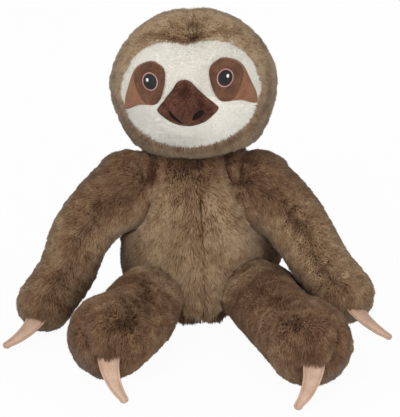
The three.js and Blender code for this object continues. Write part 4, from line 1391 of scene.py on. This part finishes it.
# %% Nose
NOSTRILS = {-1: (10.6, -9.8, 9.0, 2.4, math.radians(44), 1.5),
            1: (8.2, -8.4, 6.4, 3.5, math.radians(40), 0.3)}
NOSE_RINGS, NOSE_DOME, NOSE_SINK, NOSE_BACK = 44, 8.5, 1.2, 5.0
RIDGE_HEIGHT, DENT_DEPTH = 2.8, 4.2


def nostril_frame(side, x, z):
    """Places along and across a nostril, as shares of its half length and half width. It slants
    down towards the middle and bows outwards."""
    away, up, long, wide, tilt, bow = NOSTRILS[side]
    a, b = side * x - away, z - NOSE_LIFT - up
    along = (a * math.cos(tilt) + b * math.sin(tilt)) / long
    off = b * math.cos(tilt) - a * math.sin(tilt) + bow * (1 - along ** 2)
    return along, off / wide


def nose_front(x, z, share=None):
    """How far the padded nose stands before the head's surface, as a negative number: a dome
    that falls steeply at the edge, a round ridge between the nostrils, and a dent for each
    nostril that turns round the ridge."""
    rho = np.clip(outline_radius(NOSE_OUTLINE, x, z), 0, 1)
    dome = NOSE_DOME * (1 - rho ** 3.2) ** 0.6
    ridge = RIDGE_HEIGHT * bell(z - NOSE_LIFT + 12, 7, x + 1.5, 4.4)
    dents = 0
    for side in SIDES:
        along, off = nostril_frame(side, x, z)
        dents = dents + DENT_DEPTH * np.exp(-(along / 1.05) ** 4 - (off / 1.2) ** 2)
    return NOSE_SINK - (dome + (ridge - dents) * (1 - rho ** 8))


NOSE = from_head(cushion(NOSE_OUTLINE, NOSE_RINGS, nose_front, lambda x, z, share: NOSE_BACK, first=0.03))
nose = solid("nose", NOSE, NOSE_VELOUR, "head")
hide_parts("nose_cover", "nose_stuffing")


def nostril_outline(side):
    """A leaf round the nostril's dent: an oval, fuller at its inner end, bowed outwards."""
    away, up, long, wide, tilt, bow = NOSTRILS[side]
    turn = ring_angles(56)
    a = long * np.cos(turn)
    b = wide * np.sin(turn) * (1 + 0.3 * np.cos(turn)) - bow * (1 - np.cos(turn) ** 2)
    return np.stack([side * (away + a * math.cos(tilt) - b * math.sin(tilt)),
                     NOSE_LIFT + up + a * math.sin(tilt) + b * math.cos(tilt)], 1)[::side]


for side, word in SIDES.items():
    leaf = cushion(nostril_outline(side), 12, lambda x, z, share: nose_front(x, z) - 0.3 + 0.4 * share ** 4,
                   lambda x, z, share: nose_front(x, z) + 0.9, first=0.08)
    dent = solid(f"{word}_nostril_dent", from_head(leaf), NOSTRIL_VELOUR_AND_SHADE, "head")
    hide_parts(f"{word}_nostril")

# %% Short pile of the nose
NOSE_DENSITY, NOSE_TUFT = 5.0, 0.9

front = NOSE[:NOSE_RINGS]
roots, tops, _ = scatter(front, front + NOSE_TUFT * grid_normals(front), NOSE_DENSITY, last_pole=False)
x, _, z = to_head(roots).T
clear = np.ones(len(roots), bool)
for side in SIDES:
    along, off = nostril_frame(side, x, z)
    clear &= along ** 2 + off ** 2 > 1
roots, tops = roots[clear], tops[clear]
tufts("nose_pile", roots, tops - roots, DOWN + 0 * roots, np.ones(len(roots)), "head",
      NOSE_PILE, width=0.3, lean=0.7, curl=0.3,
      tone=0.14 * noise(roots, 1.6, 43) + 0.12 * noise(roots, 7, 44), tone_step=0.2, seed=41)

# %% [markdown]
# ## Claws
# Each claw is two layers of suede cut to the same curved shape and sewn together near the
# edge, so it is thickest in the middle and shows a line of stitches round its rim. A Solidify
# modifier on a flat shape would give an even plate; here the thickness is a function of the
# distance to the edge, and every stitch is a piece of thread of its own.

# %% Claw shape
CLAW_ROWS, CLAW_COLUMNS, CLAW_ROOT = 60, 25, 4.5
CLAW_LAYER, CLAW_SWELL, STITCH_INSET = 0.75, 1.15, 1.9
TIP_RADIUS = CLAW_WIDTH * CLAW_TIP / 2
CLAW_STRAIGHT = CLAW_LENGTH - TIP_RADIUS


def claw_edge(share, *corners):
    """The height of a cubic Bezier curve through four corners at a share of the claw's length."""
    s = np.linspace(0, 1, 200)[:, None]
    p0, p1, p2, p3 = np.array(corners, float)
    line = (1 - s) ** 3 * p0 + 3 * s * (1 - s) ** 2 * p1 + 3 * s ** 2 * (1 - s) * p2 + s ** 3 * p3
    return np.interp(share * CLAW_STRAIGHT, line[:, 0], line[:, 1])


def claw_edges(share):
    """Lower and upper edge of a claw at a share of its length: straight at the root, bowed up
    towards the tip, and a tip's radius from its middle line at the end."""
    root, tip, end = CLAW_WIDTH / 2, TIP_RADIUS, CLAW_STRAIGHT
    near, far, far_top = (part * CLAW_LENGTH for part in (0.35, 0.75, 0.7))
    low = (0, -root), (near, -root), (far, CLAW_BOW - 2.4 * tip), (end, CLAW_BOW - tip)
    high = (0, root), (near, root * 0.5), (far_top, CLAW_BOW + 0.2 * tip), (end, CLAW_BOW + tip)
    return claw_edge(share, *low), claw_edge(share, *high)


def claw_half_thickness(edge):
    """Half the claw's thickness at a distance from its edge: thin outside the seam, swelling
    inside it, with a narrow groove where the stitches pull the two layers together."""
    rise = np.clip((edge - STITCH_INSET) / 3.6, 0, 1)
    return CLAW_LAYER + CLAW_SWELL * np.sin(rise * math.pi / 2) - 0.5 * bell(edge - STITCH_INSET, 0.6)


def claw_sheet(ahead, across):
    """The claw in its own flat frame: along, across and distance from the edge, for a share of
    its length and a share of its width from -1 to 1. Past the arc's start the tip is round."""
    along = -CLAW_ROOT + ahead * (CLAW_LENGTH + CLAW_ROOT)
    low, high = claw_edges(np.clip(along / CLAW_STRAIGHT, 0, 1))
    past = np.clip((along - CLAW_STRAIGHT) / TIP_RADIUS, 0, 1)
    half = (high - low) / 2 * np.sqrt(np.maximum(1 - past ** 2, 1e-4))
    edge = np.minimum((1 - np.abs(across)) * half, CLAW_LENGTH - along)
    return along, (low + high) / 2 + across * half, edge


def claw_grid():
    """Rings round the claw: over its front layer from edge to edge and back over the other."""
    ahead = 1 - (1 - np.linspace(0, 0.9995, CLAW_ROWS)) ** 1.25
    across = np.sin(np.linspace(-1, 1, CLAW_COLUMNS) * math.pi / 2)
    along, beside, edge = claw_sheet(*np.meshgrid(ahead, across, indexing="ij"))
    half = claw_half_thickness(np.maximum(edge, 0))
    front = np.stack([along, beside, half], -1)
    back = np.stack([along, beside, -half], -1)[:, ::-1]
    high, low = (np.stack([along[:, [k]], beside[:, [k]] * 0.97, 0 * along[:, [k]]], -1) for k in (-1, 0))
    return np.concatenate([front, high, back, low], axis=1)


print("claw, mm thick:", round(2 * float(claw_grid()[..., 2].max()), 2))

# %% Stitches
STITCHES, STITCH_LENGTH, STITCH_RADIUS = 22, 1.5, 0.33
STITCH_RINGS = np.array([(-0.5, 0.35), (-0.38, 0.9), (0, 1.0), (0.38, 0.9), (0.5, 0.35)])
STITCH_SIDES = 6


def stitch_rows():
    """Middles and directions of the stitches of both layers, down both edges of a claw and a
    little way in, in the claw's own frame."""
    ahead = np.linspace(0.12, 1 - (TIP_RADIUS * 0.6) / (CLAW_LENGTH + CLAW_ROOT), STITCHES)
    height = float(claw_half_thickness(np.array(STITCH_INSET)) + 0.02)
    middle_line = claw_sheet(ahead, np.zeros(STITCHES))[1]
    middles, directions = [], []
    for edge in (-1.0, 1.0):
        along, beside, _ = claw_sheet(ahead, np.full(STITCHES, edge))
        row = np.stack([along, middle_line + edge * (np.abs(beside - middle_line) - STITCH_INSET)], 1)
        for layer in (-1, 1):
            middles.append(np.pad(row, ((0, 0), (0, 1)), constant_values=layer * height))
            directions.append(np.pad(unit(np.gradient(row, axis=0)), ((0, 0), (0, 1))))
    return np.vstack(middles), np.vstack(directions)


def claw(name):
    """Two sheets of suede that swell apart inside the seam, and the stitches of the seam: tiny
    sausages, each of a few rings of six points whose ends are drawn in."""
    body = name + "_claw"
    root, axes = claw_frame(name)
    made = solid(body, root + claw_grid() @ axes, CLAW_SUEDE, body)
    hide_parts(body + "_front", body + "_back")
    middles, directions = stitch_rows()
    middle, direction = ((part @ axes)[:, None, None] for part in (middles, directions))
    place, size = STITCH_RINGS.T[..., None, None]
    angle = ring_angles(STITCH_SIDES)[:, None]
    round_step = np.cos(angle) * np.cross(direction, axes[2]) + np.sin(angle) * axes[2]
    rings = root + middle + direction * place * STITCH_LENGTH + STITCH_RADIUS * size * round_step
    points = np.stack([closed_points(grid) for grid in rings])
    start = points.shape[1] * np.arange(len(points))[:, None, None]
    faces = (closed_faces(len(STITCH_RINGS), STITCH_SIDES) + start).reshape(-1, 3)
    points = points.reshape(-1, 3)
    piece(body + "_stitches", points, outwards(points, faces), CLAW_THREAD, body, None)


for name in CLAWS:
    claw(name)

# %% [markdown]
# ## What the covers hide
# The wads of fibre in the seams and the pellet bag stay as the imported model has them, with
# their own cloth and fibre materials. They could be dressed like the rest, but nobody sees
# them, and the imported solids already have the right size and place.

# %% Hidden fillings
for name, cad_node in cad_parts.items():
    if cad_node.hide_render:
        continue
    cad_node.data.materials.clear()
    cad_node.data.materials.append(PELLET_CLOTH if name == "seat_pellet_bag" else FIBRE)
    print("kept from the packed model:", name)

# %% Sizes
print("triangles in new pieces:", sum(len(made.data.polygons) for made in PIECES))
